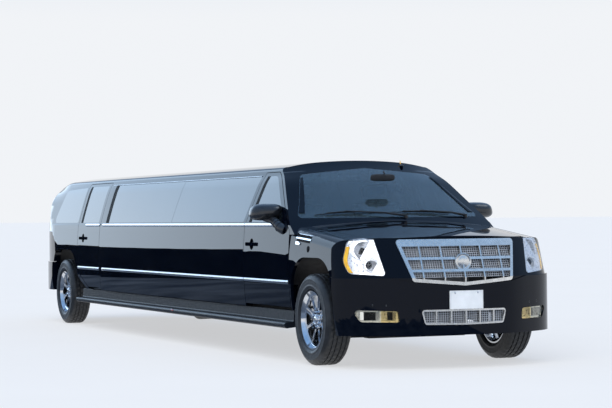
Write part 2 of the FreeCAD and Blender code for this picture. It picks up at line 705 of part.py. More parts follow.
def liner(outline, skin_form, door_side):
    """A liner over one pair of wheels, from near the frame to the body's side."""
    margin = size("liner_margin")
    ring = side_prism(outline, margin + 10).cut(side_prism(outline, margin))
    beside_door = cuboid(door_side[0], door_side[1])
    reach = HALF - WALL - 15
    narrow = cuboid((REAR - 900, -reach, 0), (900, reach, 2000))
    ring = ring.common(narrow).fuse(ring.common(beside_door)).common(skin_form)
    ring = ring.cut(well_zone)
    high = cuboid((REAR - 900, -1200, size("floor_bottom") - 60), (900, 1200, 2000))
    return ring.common(high)


front_liner = liner(front_arch_outline(), FRONT_INNER,
                    ((-size("front_door_front") + GAP, -1200, 0), (900, 1200, 2000)))
rear_liner = liner(rear_arch_outline(), CABIN_INNER,
                   ((REAR - 900, -1200, 0), (REAR + size("rear_door_rear") - GAP, 1200, 2000)))
feature("wheel_housings", Part.makeCompound(front_liner.Solids + rear_liner.Solids))

# Frame: two rails over the axles, with cross-members
rail_length = "Sizes.wheelbase + Sizes.rear_overhang + Sizes.front_overhang - 260"
rail_depth = "Sizes.floor_bottom - Sizes.rail_bottom"
right_rail = block("right_rail", ("-Sizes.wheelbase - Sizes.rear_overhang + 120",
                                  "-Sizes.rail_inner - Sizes.rail_width", "Sizes.rail_bottom"),
                   (rail_length, "Sizes.rail_width", rail_depth))
members = [right_rail, both_sides("left_rail", right_rail)]
CROSS_MEMBERS = ["780", "200", "-2200", "-4000", "-5000", "-Sizes.wheelbase - 700", "-Sizes.wheelbase - 1050"]
for number, place in enumerate(CROSS_MEMBERS):
    members.append(block("cross_member_%d" % number, (place, "-Sizes.rail_inner - 20", "Sizes.rail_bottom"),
                         ("100", "2 * Sizes.rail_inner + 40", "40")))
right_sill = block("right_sill", ("-Sizes.wheelbase + 1000", "-Sizes.floor_half_width", "Sizes.floor_bottom - 200"),
                   ("Sizes.wheelbase - 1570", "70", "200"))
members += [right_sill, both_sides("left_sill", right_sill)]
OUTRIGGERS = ["-1000", "-2900", "-4700", "-Sizes.wheelbase + 1200"]
for number, place in enumerate(OUTRIGGERS):
    arm = block("outrigger_%d" % number, (place, "-Sizes.floor_half_width + 10", "Sizes.floor_bottom - 60"),
                ("90", "Sizes.floor_half_width - 10 - Sizes.rail_inner - 20", "60"))
    members += [arm, both_sides("left_outrigger_%d" % number, arm)]
joined("chassis_frame", members)

# Engine and gearbox as one plain block
engine = block("engine_mass", ("-240", "-300", "Sizes.rail_bottom + 40"), ("700", "600", "480"))
gearbox = block("gearbox_mass", ("-960", "-150", "Sizes.rail_bottom + 40"), ("720", "300", "95"))
joined("engine_block", [engine, gearbox])

# Running boards: a ribbed step with a rounded nose, and a panel that closes it up to the doors
board_top = size("running_board_height")
board_edge = size("running_board_edge")
board_front = -size("front_arch_back") - 75
board_rear = REAR + size("rear_arch_ahead") + 160
kick = 935
board_section = [(board_edge, board_top - 58, 26), (board_edge, board_top - 2, 22), (kick + 8, board_top + 2, 12),
                 (kick, size("wall_bottom") - 9, 4), (kick - 14, size("wall_bottom") - 9, 4),
                 (kick - 8, board_top - 18, 12), (kick - 40, board_top - 30, 8), (kick - 40, board_top - 44, 8)]
board = front_prism(board_section, board_rear, board_front)
ribs = []
for number in range(4):
    y = kick + 26 + number * 16
    ribs.append(cuboid((board_rear + 90, y, board_top - 6), (board_front - 90, y + 7, board_top + 20)))
board = board.cut(ribs[0].multiFuse(ribs[1:]))
brackets = []
for place in (-1000, -2900, -4700, REAR + 1200):
    brackets.append(side_prism([(place, board_top - 40, 0), (place + 90, board_top - 40, 0),
                                (place + 90, size("floor_bottom") - 200, 0), (place, size("floor_bottom") - 200, 0)])
                    .common(cuboid((FAR * -1, size("floor_half_width") - 40, 0), (0, kick - 12, 2000))))
board = board.multiFuse(brackets).removeSplitter()
feature("running_boards", Part.makeCompound([board.mirror(Vector(), Vector(0, 1, 0)), board]))

# Rear axle with its differential, brake discs and spring seats
axle_z = "Sizes.tyre_radius"
axle_parts = [rod("axle_tube", ("-Sizes.wheelbase", "-Sizes.rear_half_track + 60", axle_z), "50",
                  "2 * Sizes.rear_half_track - 120", "Y"),
              rod("axle_shaft", ("-Sizes.wheelbase", "-Sizes.rear_half_track - 28 + Sizes.seat_gap", axle_z), "38",
                  "2 * (Sizes.rear_half_track + 28 - Sizes.seat_gap)", "Y"),
              rod("differential", ("-Sizes.wheelbase", "-130", axle_z), "60 + 80", "260", "Y")]
for side, sign in SIDES:
    inner = "Sizes.rear_half_track - 90" if sign > 0 else "-Sizes.rear_half_track + 60"
    axle_parts.append(rod("rear_disc_" + side, ("-Sizes.wheelbase", inner, axle_z), "160", "30", "Y"))
    low = "Sizes.rail_inner + 5" if sign > 0 else "-Sizes.rail_inner - Sizes.rail_width + 5"
    axle_parts.append(block("spring_seat_" + side, ("-Sizes.wheelbase - 60", low, "Sizes.tyre_radius"),
                            ("120", "Sizes.rail_width - 10", "Sizes.rail_bottom - Sizes.tyre_radius")))
joined("rear_axle", axle_parts)

# Driveline and exhaust
shaft = rod("shaft", ("-Sizes.wheelbase + 135", "0", "Sizes.rail_bottom + 75"), "32",
            "Sizes.wheelbase - 1095", "X")
exhaust = rod("exhaust_pipe", ("-Sizes.wheelbase + 900", "230", "Sizes.rail_bottom + 90"), "30",
              "Sizes.wheelbase - 2200", "X")
silencer = block("silencer", ("-Sizes.wheelbase + 900", "160", "Sizes.rail_bottom + 45"), ("700", "180", "95"))
driveline = doc.addObject("Part::Compound", "driveline")
driveline.Label = "driveline"
muffler = doc.addObject("Part::MultiFuse", "exhaust_line")
muffler.Shapes = [exhaust, silencer]
driveline.Links = [shaft, muffler]
keep(driveline)
tank = block("tank", ("-Sizes.wheelbase + 1900", "-340", "Sizes.rail_bottom - 60"), ("900", "280", "Sizes.floor_bottom - Sizes.rail_bottom + 60"))
joined("fuel_tank", [tank, block("tank_strap", ("-Sizes.wheelbase + 2300", "-380", "Sizes.rail_bottom + 20"), ("60", "60", "60"))])

# Front suspension arms on the frame
arms = []
for side, sign in SIDES:
    low = "Sizes.rail_inner + Sizes.rail_width" if sign > 0 else "-Sizes.kingpin_half_track - 25"
    reach = "Sizes.kingpin_half_track - Sizes.rail_inner - Sizes.rail_width + 25"
    arms.append(block("lower_arm_" + side, ("-45", low, "Sizes.tyre_radius - 165"), ("90", reach, "35")))
    arms.append(block("upper_arm_" + side, ("-40", low, "Sizes.tyre_radius + 135"), ("80", reach, "25")))
arms.append(block("subframe", ("-60", "-Sizes.rail_inner - Sizes.rail_width", "Sizes.tyre_radius - 175"),
                  ("120", "2 * Sizes.rail_inner + 2 * Sizes.rail_width",
                   "Sizes.rail_bottom - Sizes.tyre_radius + 175")))
arms_node = joined("front_suspension", arms)

# Knuckles: upright post between the arms, stub axle, brake disc and caliper
post_low = "Sizes.tyre_radius - 130 + Sizes.seat_gap"
post_length = "265 - 2 * Sizes.seat_gap"
for side, sign in SIDES:
    pin_y = "%s Sizes.kingpin_half_track" % ("" if sign > 0 else "-")
    inner = "Sizes.kingpin_half_track" if sign > 0 else "-Sizes.front_half_track - 28 + Sizes.seat_gap"
    disc = "Sizes.kingpin_half_track + 50" if sign > 0 else "-Sizes.kingpin_half_track - 75"
    caliper = "Sizes.kingpin_half_track + 36" if sign > 0 else "-Sizes.kingpin_half_track - 90"
    joined("knuckle_" + side, [
        rod("post_" + side, ("0", pin_y, post_low), "26", post_length, "Z"),
        rod("stub_" + side, ("0", inner, "Sizes.tyre_radius"), "32",
            "Sizes.front_half_track + 28 - Sizes.seat_gap - Sizes.kingpin_half_track", "Y"),
        rod("disc_" + side, ("0", disc, "Sizes.tyre_radius"), "165", "25", "Y"),
        block("caliper_" + side, ("90", caliper, "Sizes.tyre_radius - 60"), ("85", "54", "120"))])


# Wheels

def plane_of(body, role):
    """One of a body's own origin planes, found by its role."""
    return [item for item in body.Origin.OriginFeatures if item.Role == role][0]


def outline_sketch(body, name, corners):
    """A closed sketch on the body's XZ plane: distance from the axis along X, width along Z."""
    sketch = body.newObject("Sketcher::SketchObject", name)
    sketch.AttachmentSupport = (plane_of(body, "XZ_Plane"), [""])
    sketch.MapMode = "FlatFace"
    for index, start in enumerate(corners):
        end = corners[(index + 1) % len(corners)]
        sketch.addGeometry(Part.LineSegment(Vector(start[0], start[1], 0), Vector(end[0], end[1], 0)), False)
    return sketch


def turned(label, corners, placement):
    """A ring or wheel turned about its own Z axis."""
    body = doc.addObject("PartDesign::Body", label)
    body.Label = label
    sketch = outline_sketch(body, label + "_section", corners)
    turn = body.newObject("PartDesign::Revolution", label + "_turn")
    turn.Profile = sketch
    turn.ReferenceAxis = (sketch, ["V_Axis"])
    turn.Angle = 360
    for key, text in zip("xyz", placement):
        body.setExpression("Placement.Base." + key, text)
    return body


def ring_of_facets(section, facets):
    """A closed ring about Z with flat facets, which touch the section's own radii."""
    outward = 1 / math.cos(math.pi / facets)
    rows = []
    for number in range(facets):
        angle = 2 * math.pi * (number + 0.5) / facets
        rows.append([Vector(radius * outward * math.cos(angle), radius * outward * math.sin(angle), depth)
                     for radius, depth in section])
    faces = []
    for number, row in enumerate(rows):
        following = rows[(number + 1) % facets]
        for index in range(len(section)):
            after = (index + 1) % len(section)
            faces.append(Part.Face(Part.makePolygon([row[index], row[after], following[after], following[index],
                                                     row[index]])))
    return Part.Solid(Part.Shell(faces))


half_tyre = size("tyre_width") / 2
rim = size("rim_radius")
tread = size("tyre_radius")
TYRE = [(rim, -half_tyre + 22), (rim + 12, -half_tyre + 7), (rim + 68, -half_tyre), (tread - 22, -half_tyre + 13),
        (tread - 5, -half_tyre + 29), (tread, -half_tyre + 72), (tread, half_tyre - 72), (tread - 5, half_tyre - 29),
        (tread - 22, half_tyre - 13), (rim + 68, half_tyre), (rim + 12, half_tyre - 7), (rim, half_tyre - 22)]
hub_back = 28
WHEEL = [(0, hub_back), (0, 68), (40, 68), (46, 56), (80, 54), (232, 72), (rim - 12, 104), (rim, 104), (rim, -98),
         (rim - 12, -98), (rim - 22, 44), (80, hub_back + 2)]
SPOKES = 8


def window_between_spokes(sketch):
    """A wedge with a rounded outer end, its sides beside two neighbouring spokes."""
    turn = math.pi / SPOKES
    half_spoke = size("spoke_width") / 2

    def beside(reach, sign):
        return Vector(reach * math.cos(turn) + half_spoke * math.sin(turn),
                      sign * (reach * math.sin(turn) - half_spoke * math.cos(turn)), 0)

    low_right, high_right, high_left, low_left = beside(98, -1), beside(206, -1), beside(206, 1), beside(98, 1)
    sketch.addGeometry(Part.LineSegment(low_right, high_right), False)
    sketch.addGeometry(Part.Arc(high_right, Vector(high_right.Length, 0, 0), high_left), False)
    sketch.addGeometry(Part.LineSegment(high_left, low_left), False)
    sketch.addGeometry(Part.LineSegment(low_left, low_right), False)


def channel_in_spoke(sketch):
    """A long slot along a spoke, narrower than the spoke by its two raised edges."""
    turn = math.pi / SPOKES
    along = Vector(math.cos(turn), math.sin(turn), 0)
    across = Vector(-math.sin(turn), math.cos(turn), 0) * (size("spoke_width") / 2 - 15)
    corners = [along * 92 - across, along * 214 - across, along * 214 + across, along * 92 + across]
    for index, corner in enumerate(corners):
        sketch.addGeometry(Part.LineSegment(corner, corners[(index + 1) % 4]), False)


def pocket_ring(body, name, draw, offset, depth):
    """One pocket, repeated between or along the spokes."""
    sketch = body.newObject("Sketcher::SketchObject", name)
    sketch.AttachmentSupport = (plane_of(body, "XY_Plane"), [""])
    sketch.MapMode = "FlatFace"
    sketch.AttachmentOffset = Placement(Vector(0, 0, offset), Rotation())
    draw(sketch)
    doc.recompute()
    hole = body.newObject("PartDesign::Pocket", name + "_pocket")
    hole.Profile = sketch
    hole.Length = depth
    ring = body.newObject("PartDesign::PolarPattern", name + "_ring")
    ring.Originals = [hole]
    ring.Axis = (sketch, ["N_Axis"])
    ring.Angle = 360
    ring.Occurrences = SPOKES
    body.Tip = ring


WHEELS = [("front_right", "0", "-Sizes.front_half_track", -1), ("front_left", "0", "Sizes.front_half_track", 1),
          ("rear_right", "-Sizes.wheelbase", "-Sizes.rear_half_track", -1),
          ("rear_left", "-Sizes.wheelbase", "Sizes.rear_half_track", 1)]
for name, along, across, sign in WHEELS:
    place = (AXLE_X + " + (" + along + ")", across, "Sizes.tyre_radius")
    outward = Rotation(Vector(1, 0, 0), -90 * sign)
    tyre = doc.addObject("Part::Feature", "tyre_" + name)
    tyre.Label = "tyre_" + name
    tyre.Shape = ring_of_facets(TYRE, int(size("tyre_facets")))
    tyre.Placement = Placement(Vector(), outward)
    for key, text in zip("xyz", place):
        tyre.setExpression("Placement.Base." + key, text)
    keep(tyre)
    wheel = turned("rim_" + name, WHEEL, place)
    wheel.Placement = Placement(wheel.Placement.Base, outward)
    pocket_ring(wheel, "rim_%s_window" % name, window_between_spokes, half_tyre, 2 * half_tyre)
    pocket_ring(wheel, "rim_%s_channel" % name, channel_in_spoke, half_tyre, half_tyre - 50)
    keep(wheel)


def bent_bar(points, radius):
    """An eight-sided bar that bends at each point of its path."""
    wires = []
    for number, point in enumerate(points):
        before = points[max(number - 1, 0)]
        after = points[min(number + 1, len(points) - 1)]
        facing = Rotation(Vector(0, 0, 1), after - before)
        corners = [Vector(radius * math.cos(math.pi * (side + 0.5) / 4), radius * math.sin(math.pi * (side + 0.5) / 4), 0)
                   for side in range(9)]
        wires.append(Part.makePolygon([point + facing.multVec(corner) for corner in corners]))
    return Part.makeLoft(wires, True, True)


# Door mirrors: a rounded head on a bent arm, seated at the door's front corner
for side, sign in SIDES:
    head = front_prism([(1222, 1243, 40), (1222, 1396, 62), (1010, 1388, 55), (915, 1352, 30), (915, 1262, 30)],
                       -930, -740)
    plan = rounded([(-905, 905, 40), (-905, 1225, 30), (-800, 1228, 60), (-742, 1130, 120), (-742, 980, 60),
                    (-800, 905, 40)], lambda p: Vector(p.x, p.y, 1200))
    head = head.common(Part.Face(plan).extrude(Vector(0, 0, 300)))
    profile = rounded([(-905, 1236, 20), (-905, 1400, 20), (-790, 1400, 50), (-738, 1340, 60), (-738, 1290, 40),
                       (-780, 1236, 30)], lambda p: Vector(p.x, 800, p.y))
    head = head.common(Part.Face(profile).extrude(Vector(0, 500, 0)))
    arm = bent_bar([Vector(-800, 1120, 1262), Vector(-792, 1050, 1258), Vector(-735, 1022, 1238),
                    Vector(-600, 1002, 1172)], 27)
    foot = side_prism([(-655, 1128, 20), (-668, 1206, 15), (-560, 1198, 15), (-535, 1128, 20)])
    foot = foot.common(cuboid((-700, 960, 1100), (-480, 1012, 1250)))
    shell = head.fuse(arm).fuse(foot)
    if sign < 0:
        shell = shell.mirror(Vector(), Vector(0, 1, 0))
    feature("mirror_" + side, largest(shell.cut(CABIN).removeSplitter().Solids))

# Cabin fittings
inside = CABIN_INNER.common(cuboid((-3000, -850, 0), (-300, 850, 1600)))
dash = side_prism([(-352, floor_top + 200, 20), (-352, 1150, 30), (-560, 1190, 60), (-800, 1130, 70),
                   (-760, 880, 60), (-560, 840, 40), (-500, floor_top + 200, 20)], 0, 840).common(inside)
feature("dashboard", dash.cut(FRONT))
wheel_axis = Vector(-0.92, 0, 0.39)
hub = Vector(-900, 400, 1050)
grip = Part.makePolygon([Vector(180 + 16 * math.cos(math.radians(60 * number)), 0,
                                16 * math.sin(math.radians(60 * number))) for number in range(7)])
grip = Part.Face(grip).revolve(Vector(), Vector(0, 0, 1), 360)
grip.Placement = Placement(hub, Rotation(Vector(0, 0, 1), wheel_axis))
boss = Part.makeCylinder(45, 50, hub - wheel_axis * 30, wheel_axis)
column = Part.makeCylinder(28, 190, hub - wheel_axis * 175, wheel_axis)
spoke = Part.makeBox(24, 360, 20, Vector(-12, -180, -10))
spoke.Placement = Placement(hub, Rotation(Vector(0, 0, 1), wheel_axis))
wheel_shape = grip.fuse(boss).fuse(column).fuse(spoke).cut(dash)
feature("steering_wheel", largest(wheel_shape.Solids))


def seat(x, y, width):
    """A seat from the side: cushion, raked back and head rest, carried across its width."""
    low = floor_top
    top = low + size("seat_height")
    outline = [(x + 260, low, 30), (x + 260, top, 70), (x - 240, top - 40, 40), (x - 400, top + 620, 60),
               (x - 520, top + 600, 60), (x - 360, low, 30)]
    return side_prism(outline, 0, width / 2).translate(Vector(0, y, 0))


feature("front_seats", Part.makeCompound([seat(-1250, 400, 520), seat(-1250, -400, 520)]))
bench_low = floor_top
bench = cuboid((REAR + 1500, 500, bench_low), (-2300, 868, bench_low + size("seat_height")))
bench_back = cuboid((REAR + 1500, 770, bench_low + size("seat_height")), (-2300, 868, bench_low + 560))
feature("lounge_bench", bench.fuse(bench_back).removeSplitter())
feature("rear_seat", seat(REAR + 560, 0, 900))
bar = cuboid((-5200, -868, floor_top), (-2600, -560, floor_top + 520))
feature("bar_cabinet", bar)
partition = CABIN_INNER.common(cuboid((-1990, -1200, floor_top), (-1950, 1200, 1900)))
opening = front_prism(mirrored([(560, 1240, 40), (520, 1600, 40)]), -2100, -1900)
feature("partition", partition.cut(opening))

# Plate and aerial
plate = cuboid((900, -152, 499), (1300, 152, 651)).common(PLATE_SKIN).cut(BUMPER_SKIN)
feature("front_plate", plate)

doc.recompute()

# Checks and files
for item in doc.Objects:
    if "Invalid" in item.State or "Error" in item.State:
        raise RuntimeError("%s did not build: %s" % (item.Name, item.State))
os.makedirs("parts", exist_ok=True)
faulty = []
for piece in nodes:
    shape = piece.Shape
    print("%-24s solids %2d  volume %9.4f l" % (piece.Label, len(shape.Solids), shape.Volume / 1e6))
    if shape.isNull() or not shape.isValid() or not shape.Solids:
        faulty.append(piece.Label)
if faulty:
    raise RuntimeError("no valid solid: " + ", ".join(faulty))
for piece in nodes:
    piece.Shape.exportStep("parts/%s.step" % piece.Label)
print("nodes", len(nodes))
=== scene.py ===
import json
from math import copysign, cos, exp, pi, radians, sin
import bmesh
import bpy
from mathutils import Matrix, Vector
from mathutils.bvhtree import BVHTree

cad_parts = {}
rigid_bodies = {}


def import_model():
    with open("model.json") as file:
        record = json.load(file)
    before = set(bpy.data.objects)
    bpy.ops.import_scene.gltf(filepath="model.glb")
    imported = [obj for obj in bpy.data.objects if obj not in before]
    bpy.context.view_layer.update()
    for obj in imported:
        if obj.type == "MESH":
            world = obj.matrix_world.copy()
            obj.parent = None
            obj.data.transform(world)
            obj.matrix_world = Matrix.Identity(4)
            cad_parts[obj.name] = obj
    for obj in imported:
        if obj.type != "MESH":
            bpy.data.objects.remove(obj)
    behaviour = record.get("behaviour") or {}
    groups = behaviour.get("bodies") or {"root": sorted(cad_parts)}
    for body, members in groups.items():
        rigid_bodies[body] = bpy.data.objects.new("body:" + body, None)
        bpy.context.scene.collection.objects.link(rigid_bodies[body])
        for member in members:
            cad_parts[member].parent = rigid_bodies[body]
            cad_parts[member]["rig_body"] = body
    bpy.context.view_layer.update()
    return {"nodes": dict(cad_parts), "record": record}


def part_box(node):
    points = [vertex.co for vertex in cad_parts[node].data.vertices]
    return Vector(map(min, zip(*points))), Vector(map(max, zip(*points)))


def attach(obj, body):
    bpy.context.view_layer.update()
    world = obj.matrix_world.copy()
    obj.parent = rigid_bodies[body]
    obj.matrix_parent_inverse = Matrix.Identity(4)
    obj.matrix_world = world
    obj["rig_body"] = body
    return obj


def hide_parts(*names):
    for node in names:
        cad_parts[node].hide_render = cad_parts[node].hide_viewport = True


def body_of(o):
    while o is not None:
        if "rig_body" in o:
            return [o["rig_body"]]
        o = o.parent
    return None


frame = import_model()
NODES = frame["nodes"]
SLOTS = {part["node"]: part["material_slot"] for part in frame["record"]["subparts"]}
SIDES = (("right", -1), ("left", 1))
AHEAD, LEFT, UP = Vector((1, 0, 0)), Vector((0, 1, 0)), Vector((0, 0, 1))

# Places are written in millimetres: x from the front axle, y from the middle, z from the ground
FRONT_AXLE = sum(corner.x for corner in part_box("tyre_front_right")) / 2
REAR_AXLE_MM = (sum(corner.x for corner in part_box("tyre_rear_right")) / 2 - FRONT_AXLE) * 1000


def at(x, y, z):
    """A point in metres from a place in millimetres counted from the front axle."""
    return Vector((FRONT_AXLE + x / 1000, y / 1000, z / 1000))


def spread(start, end, spans):
    """Values in even steps from one to the other, both included."""
    return [start + (end - start) * step / spans for step in range(spans + 1)]


def turns(count):
    """Angles in even steps once round."""
    return [2 * pi * step / count for step in range(count)]


def placed(name, data):
    """A new object in the scene, made of a mesh, lamp or camera."""
    made = bpy.data.objects.new(name, data)
    bpy.context.scene.collection.objects.link(made)
    return made


def fill_ramp(ramp, stops):
    """Colours or levels at places along a colour ramp."""
    while len(ramp.elements) < len(stops):
        ramp.elements.new(0.5)
    for element, (place, level) in zip(ramp.elements, stops):
        element.position = place
        element.color = (*level, 1) if isinstance(level, tuple) else (level, level, level, 1)


# Materials, each kept by its name

MATERIALS = {}


class Shader:
    """A material with one Principled shader and the noise patterns that feed it."""

    def __init__(self, name, **sockets):
        self.material = MATERIALS[name] = bpy.data.materials.new(name)
        self.material.use_nodes = True
        self.tree = self.material.node_tree
        self.shader = self.tree.nodes["Principled BSDF"]
        for key, value in sockets.items():
            socket = self.shader.inputs[key.replace("_", " ")]
            socket.default_value = (*value, 1) if isinstance(value, tuple) else value
        self.place = self.tree.nodes.new("ShaderNodeTexCoord").outputs["Object"]

    def node(self, kind, **settings):
        made = self.tree.nodes.new(kind)
        for key, value in settings.items():
            if key in made.inputs:
                made.inputs[key].default_value = value
            else:
                setattr(made, key, value)
        return made

    def link(self, source, target):
        self.tree.links.new(source, target)

    def noise(self, scale, detail, stretch=(1, 1, 1)):
        """Noise in object space, at a scale in cells a metre."""
        mapping = self.node("ShaderNodeMapping", Scale=stretch)
        pattern = self.node("ShaderNodeTexNoise", Scale=scale, Detail=detail)
        self.link(self.place, mapping.inputs["Vector"])
        self.link(mapping.outputs["Vector"], pattern.inputs["Vector"])
        return pattern.outputs["Fac"]

    def ramp(self, source, stops):
        """Colours or levels at places along a pattern."""
        made = self.node("ShaderNodeValToRGB")
        fill_ramp(made.color_ramp, stops)
        self.link(source, made.inputs["Fac"])
        return made.outputs["Color"]

    def into(self, socket, source):
        self.link(source, self.shader.inputs[socket])

    def vary(self, socket, scale, detail, *stops):
        """A socket that changes from stop to stop over noise."""
        self.into(socket, self.ramp(self.noise(scale, detail), stops))

    def bump(self, source, distance, strength):
        """Relief from a pattern, its height in metres."""
        made = self.node("ShaderNodeBump", Distance=distance, Strength=strength)
        self.link(source, made.inputs["Height"])
        self.into("Normal", made.outputs["Normal"])


def body_paint():
    """Near-black navy paint: its own colour is dark, and the lacquer carries the reflections."""
    made = Shader("body_paint", Specular_IOR_Level=0.0, Roughness=0.5, Coat_Weight=1.0, Coat_Roughness=0.015,
                  Coat_IOR=1.26)
    made.vary("Base Color", 900, 2, (0.3, (0.0005, 0.0012, 0.0034)), (0.75, (0.0012, 0.003, 0.008)))
    made.bump(made.noise(2.2, 1), 0.0012, 0.3)


def privacy_glass():
    made = Shader("privacy_glass", Roughness=0.02, IOR=1.5)
    made.vary("Base Color", 3, 3, (0.3, (0.004, 0.006, 0.008)), (0.7, (0.008, 0.011, 0.014)))
    made.bump(made.noise(1.1, 1), 0.001, 0.12)


def windscreen_glass():
    made = Shader("windscreen_glass", Transmission_Weight=0.94, IOR=1.5)
    made.vary("Base Color", 2, 2, (0.3, (0.30, 0.46, 0.56)), (0.7, (0.40, 0.56, 0.66)))
    made.vary("Roughness", 40, 4, (0.4, 0.0), (0.8, 0.03))


def clear_lens():
    made = Shader("lamp_lens", Transmission_Weight=1.0, IOR=1.25, Base_Color=(0.97, 0.98, 1.0))
    made.vary("Roughness", 30, 4, (0.4, 0.0), (0.85, 0.05))


AMBER_PANE_END = 0.694
CLEAR_PANE_START = 0.70


def fog_lens():
    """Clear outer panes and amber inner ones, told apart by how far out they stand, in metres."""
    made = Shader("fog_lens", Transmission_Weight=1.0, IOR=1.25)
    split = made.node("ShaderNodeSeparateXYZ")
    made.link(made.place, split.inputs["Vector"])
    across = made.node("ShaderNodeMath", operation="ABSOLUTE")
    made.link(split.outputs["Y"], across.inputs[0])
    panes = ((AMBER_PANE_END, (1.0, 0.86, 0.55)), (CLEAR_PANE_START, (0.98, 0.95, 0.84)))
    made.into("Base Color", made.ramp(across.outputs["Value"], panes))
    made.vary("Roughness", 60, 3, (0.4, 0.02), (0.8, 0.12))


def coloured_lens(name, dark, light):
    """A ribbed lens in one colour."""
    made = Shader(name, Coat_Weight=1.0, Coat_Roughness=0.03, Roughness=0.2)
    ribs = made.noise(120, 2, (0.2, 1, 0.2))
    made.into("Base Color", made.ramp(ribs, ((0.35, dark), (0.65, light))))
    made.bump(ribs, 0.0008, 0.5)


def rubber():
    """Tyre rubber, worn paler in patches."""
    made = Shader("tyre", Coat_Weight=0.25, Coat_Roughness=0.35)
    made.vary("Base Color", 11, 6, (0.3, (0.006, 0.0065, 0.0075)), (0.75, (0.018, 0.02, 0.024)))
    made.vary("Roughness", 40, 4, (0.3, 0.48), (0.75, 0.68))
    made.bump(made.noise(350, 3), 0.0003, 0.6)


def bright_housing():
    """Pale plated plastic, flecked with darker facets."""
    made = Shader("lamp_reflector", Metallic=0.35)
    made.vary("Base Color", 75, 5, (0.37, (0.34, 0.35, 0.37)), (0.43, (0.93, 0.94, 0.96)))
    made.vary("Roughness", 90, 3, (0.35, 0.14), (0.75, 0.3))
    made.bump(made.noise(55, 2), 0.0015, 0.5)


def plated(name, tint, rough_low, rough_high):
    """Bright plating, a little hazed in patches."""
    made = Shader(name, Metallic=1.0)
    hazed = tuple(channel * 0.82 for channel in tint)
    made.vary("Base Color", 25, 5, (0.3, hazed), (0.65, tint))
    made.vary("Roughness", 70, 4, (0.35, rough_low), (0.75, rough_high))


def moulded(name, dark, light, rough, grain_scale=500, grain_height=0.0002, coat=0.0, shine=0.5):
    """Moulded plastic, leather or cast metal with a grain."""
    made = Shader(name, Coat_Weight=coat, Coat_Roughness=0.08, Specular_IOR_Level=shine)
    made.vary("Base Color", 14, 5, (0.3, dark), (0.7, light))
    made.vary("Roughness", 40, 4, (0.3, rough), (0.75, min(rough + 0.15, 1.0)))
    made.bump(made.noise(grain_scale, 3), grain_height, 0.6)


body_paint()
privacy_glass()
windscreen_glass()
clear_lens()
fog_lens()
coloured_lens("tail_lamp_lens", (0.16, 0.004, 0.006), (0.42, 0.012, 0.014))
coloured_lens("amber_lens", (0.75, 0.36, 0.01), (0.95, 0.55, 0.02))
rubber()
bright_housing()
plated("grille_silver", (0.86, 0.84, 0.80), 0.2, 0.36)
plated("chrome_trim", (0.86, 0.88, 0.92), 0.04, 0.12)
# A darker copy of the bright chrome for the strip low on the side: painted shade.
plated("shaded_chrome", (0.40, 0.43, 0.47), 0.12, 0.26)
plated("wheel_chrome", (0.80, 0.82, 0.85), 0.06, 0.16)
moulded("black_plastic", (0.006, 0.006, 0.007), (0.013, 0.013, 0.015), 0.42)
moulded("mirror_shell", (0.006, 0.007, 0.009), (0.012, 0.013, 0.016), 0.25, coat=0.5)
moulded("matt_black", (0.002, 0.002, 0.003), (0.005, 0.005, 0.006), 0.6, shine=0.1)
moulded("running_board", (0.004, 0.006, 0.010), (0.009, 0.012, 0.018), 0.34, 300, 0.0004, shine=0.22)
moulded("underbody", (0.006, 0.006, 0.006), (0.016, 0.015, 0.014), 0.7, 200, 0.0008)
moulded("engine_metal", (0.12, 0.12, 0.125), (0.24, 0.24, 0.25), 0.45, 260, 0.0006)
moulded("knuckle_iron", (0.07, 0.065, 0.06), (0.15, 0.14, 0.13), 0.5, 240, 0.0006)
moulded("interior_plastic", (0.015, 0.015, 0.017), (0.03, 0.03, 0.034), 0.6)
moulded("seat_leather", (0.05, 0.045, 0.04), (0.085, 0.078, 0.07), 0.42, 220, 0.0007)
moulded("cabinet", (0.03, 0.014, 0.008), (0.07, 0.035, 0.018), 0.2, 60, 0.0002, coat=0.8)
moulded("mesh_silver", (0.30, 0.31, 0.33), (0.42, 0.43, 0.45), 0.3, 90, 0.0001, coat=0.3)
moulded("plate_white", (0.74, 0.74, 0.73), (0.82, 0.82, 0.81), 0.35, 90, 0.0001)


def finish_nodes():
    """Every CAD node takes the material of its slot in the record."""
    for node, slot in SLOTS.items():
        mesh = NODES[node].data
        mesh.materials.clear()
        mesh.materials.append(MATERIALS[slot])
    NODES["grille_mesh"].data.materials[0] = MATERIALS["mesh_silver"]


# The cabin's upper part, drawn in and rounded as the photograph shows it

SIDE_ENDINGS = ("_right", "_left")
SHAPED_NODES = ["roof_panel", "windscreen", "windscreen_frame", "side_glass", "tailgate", "tailgate_glass"]
SHAPED_NODES += [part + ending for part in ("front_door", "rear_door", "side_wall", "quarter_panel")
                 for ending in SIDE_ENDINGS]
SHAPED_NODES += [part + ending + "_glass" for part in ("front_door", "rear_door") for ending in SIDE_ENDINGS]

BELT_LINE = 1232
CABIN_FRONT = -340
FULL_LEAN = 0.072
LEAN_RISE = 445
LEAN_ONSET = 300
LEAN_END = -6300
LEAN_FADE = 4700
CROWN_FOOT, CROWN_RISE, CROWN_DROP = 1560, 262, 30
SHOULDER_START, SHOULDER_WIDTH, SHOULDER_DROP = 430, 390, 26
TAIL_START, TAIL_LENGTH = -8200, 900
TAIL_FOOT, TAIL_RISE = 1450, 372
TAIL_SHIFT, TAIL_DROP, TAIL_NARROWING = 95, 48, 0.085


def eased(value):
    """A smooth step from 0 to 1."""
    value = min(max(value, 0.0), 1.0)
    return value * value * (3 - 2 * value)


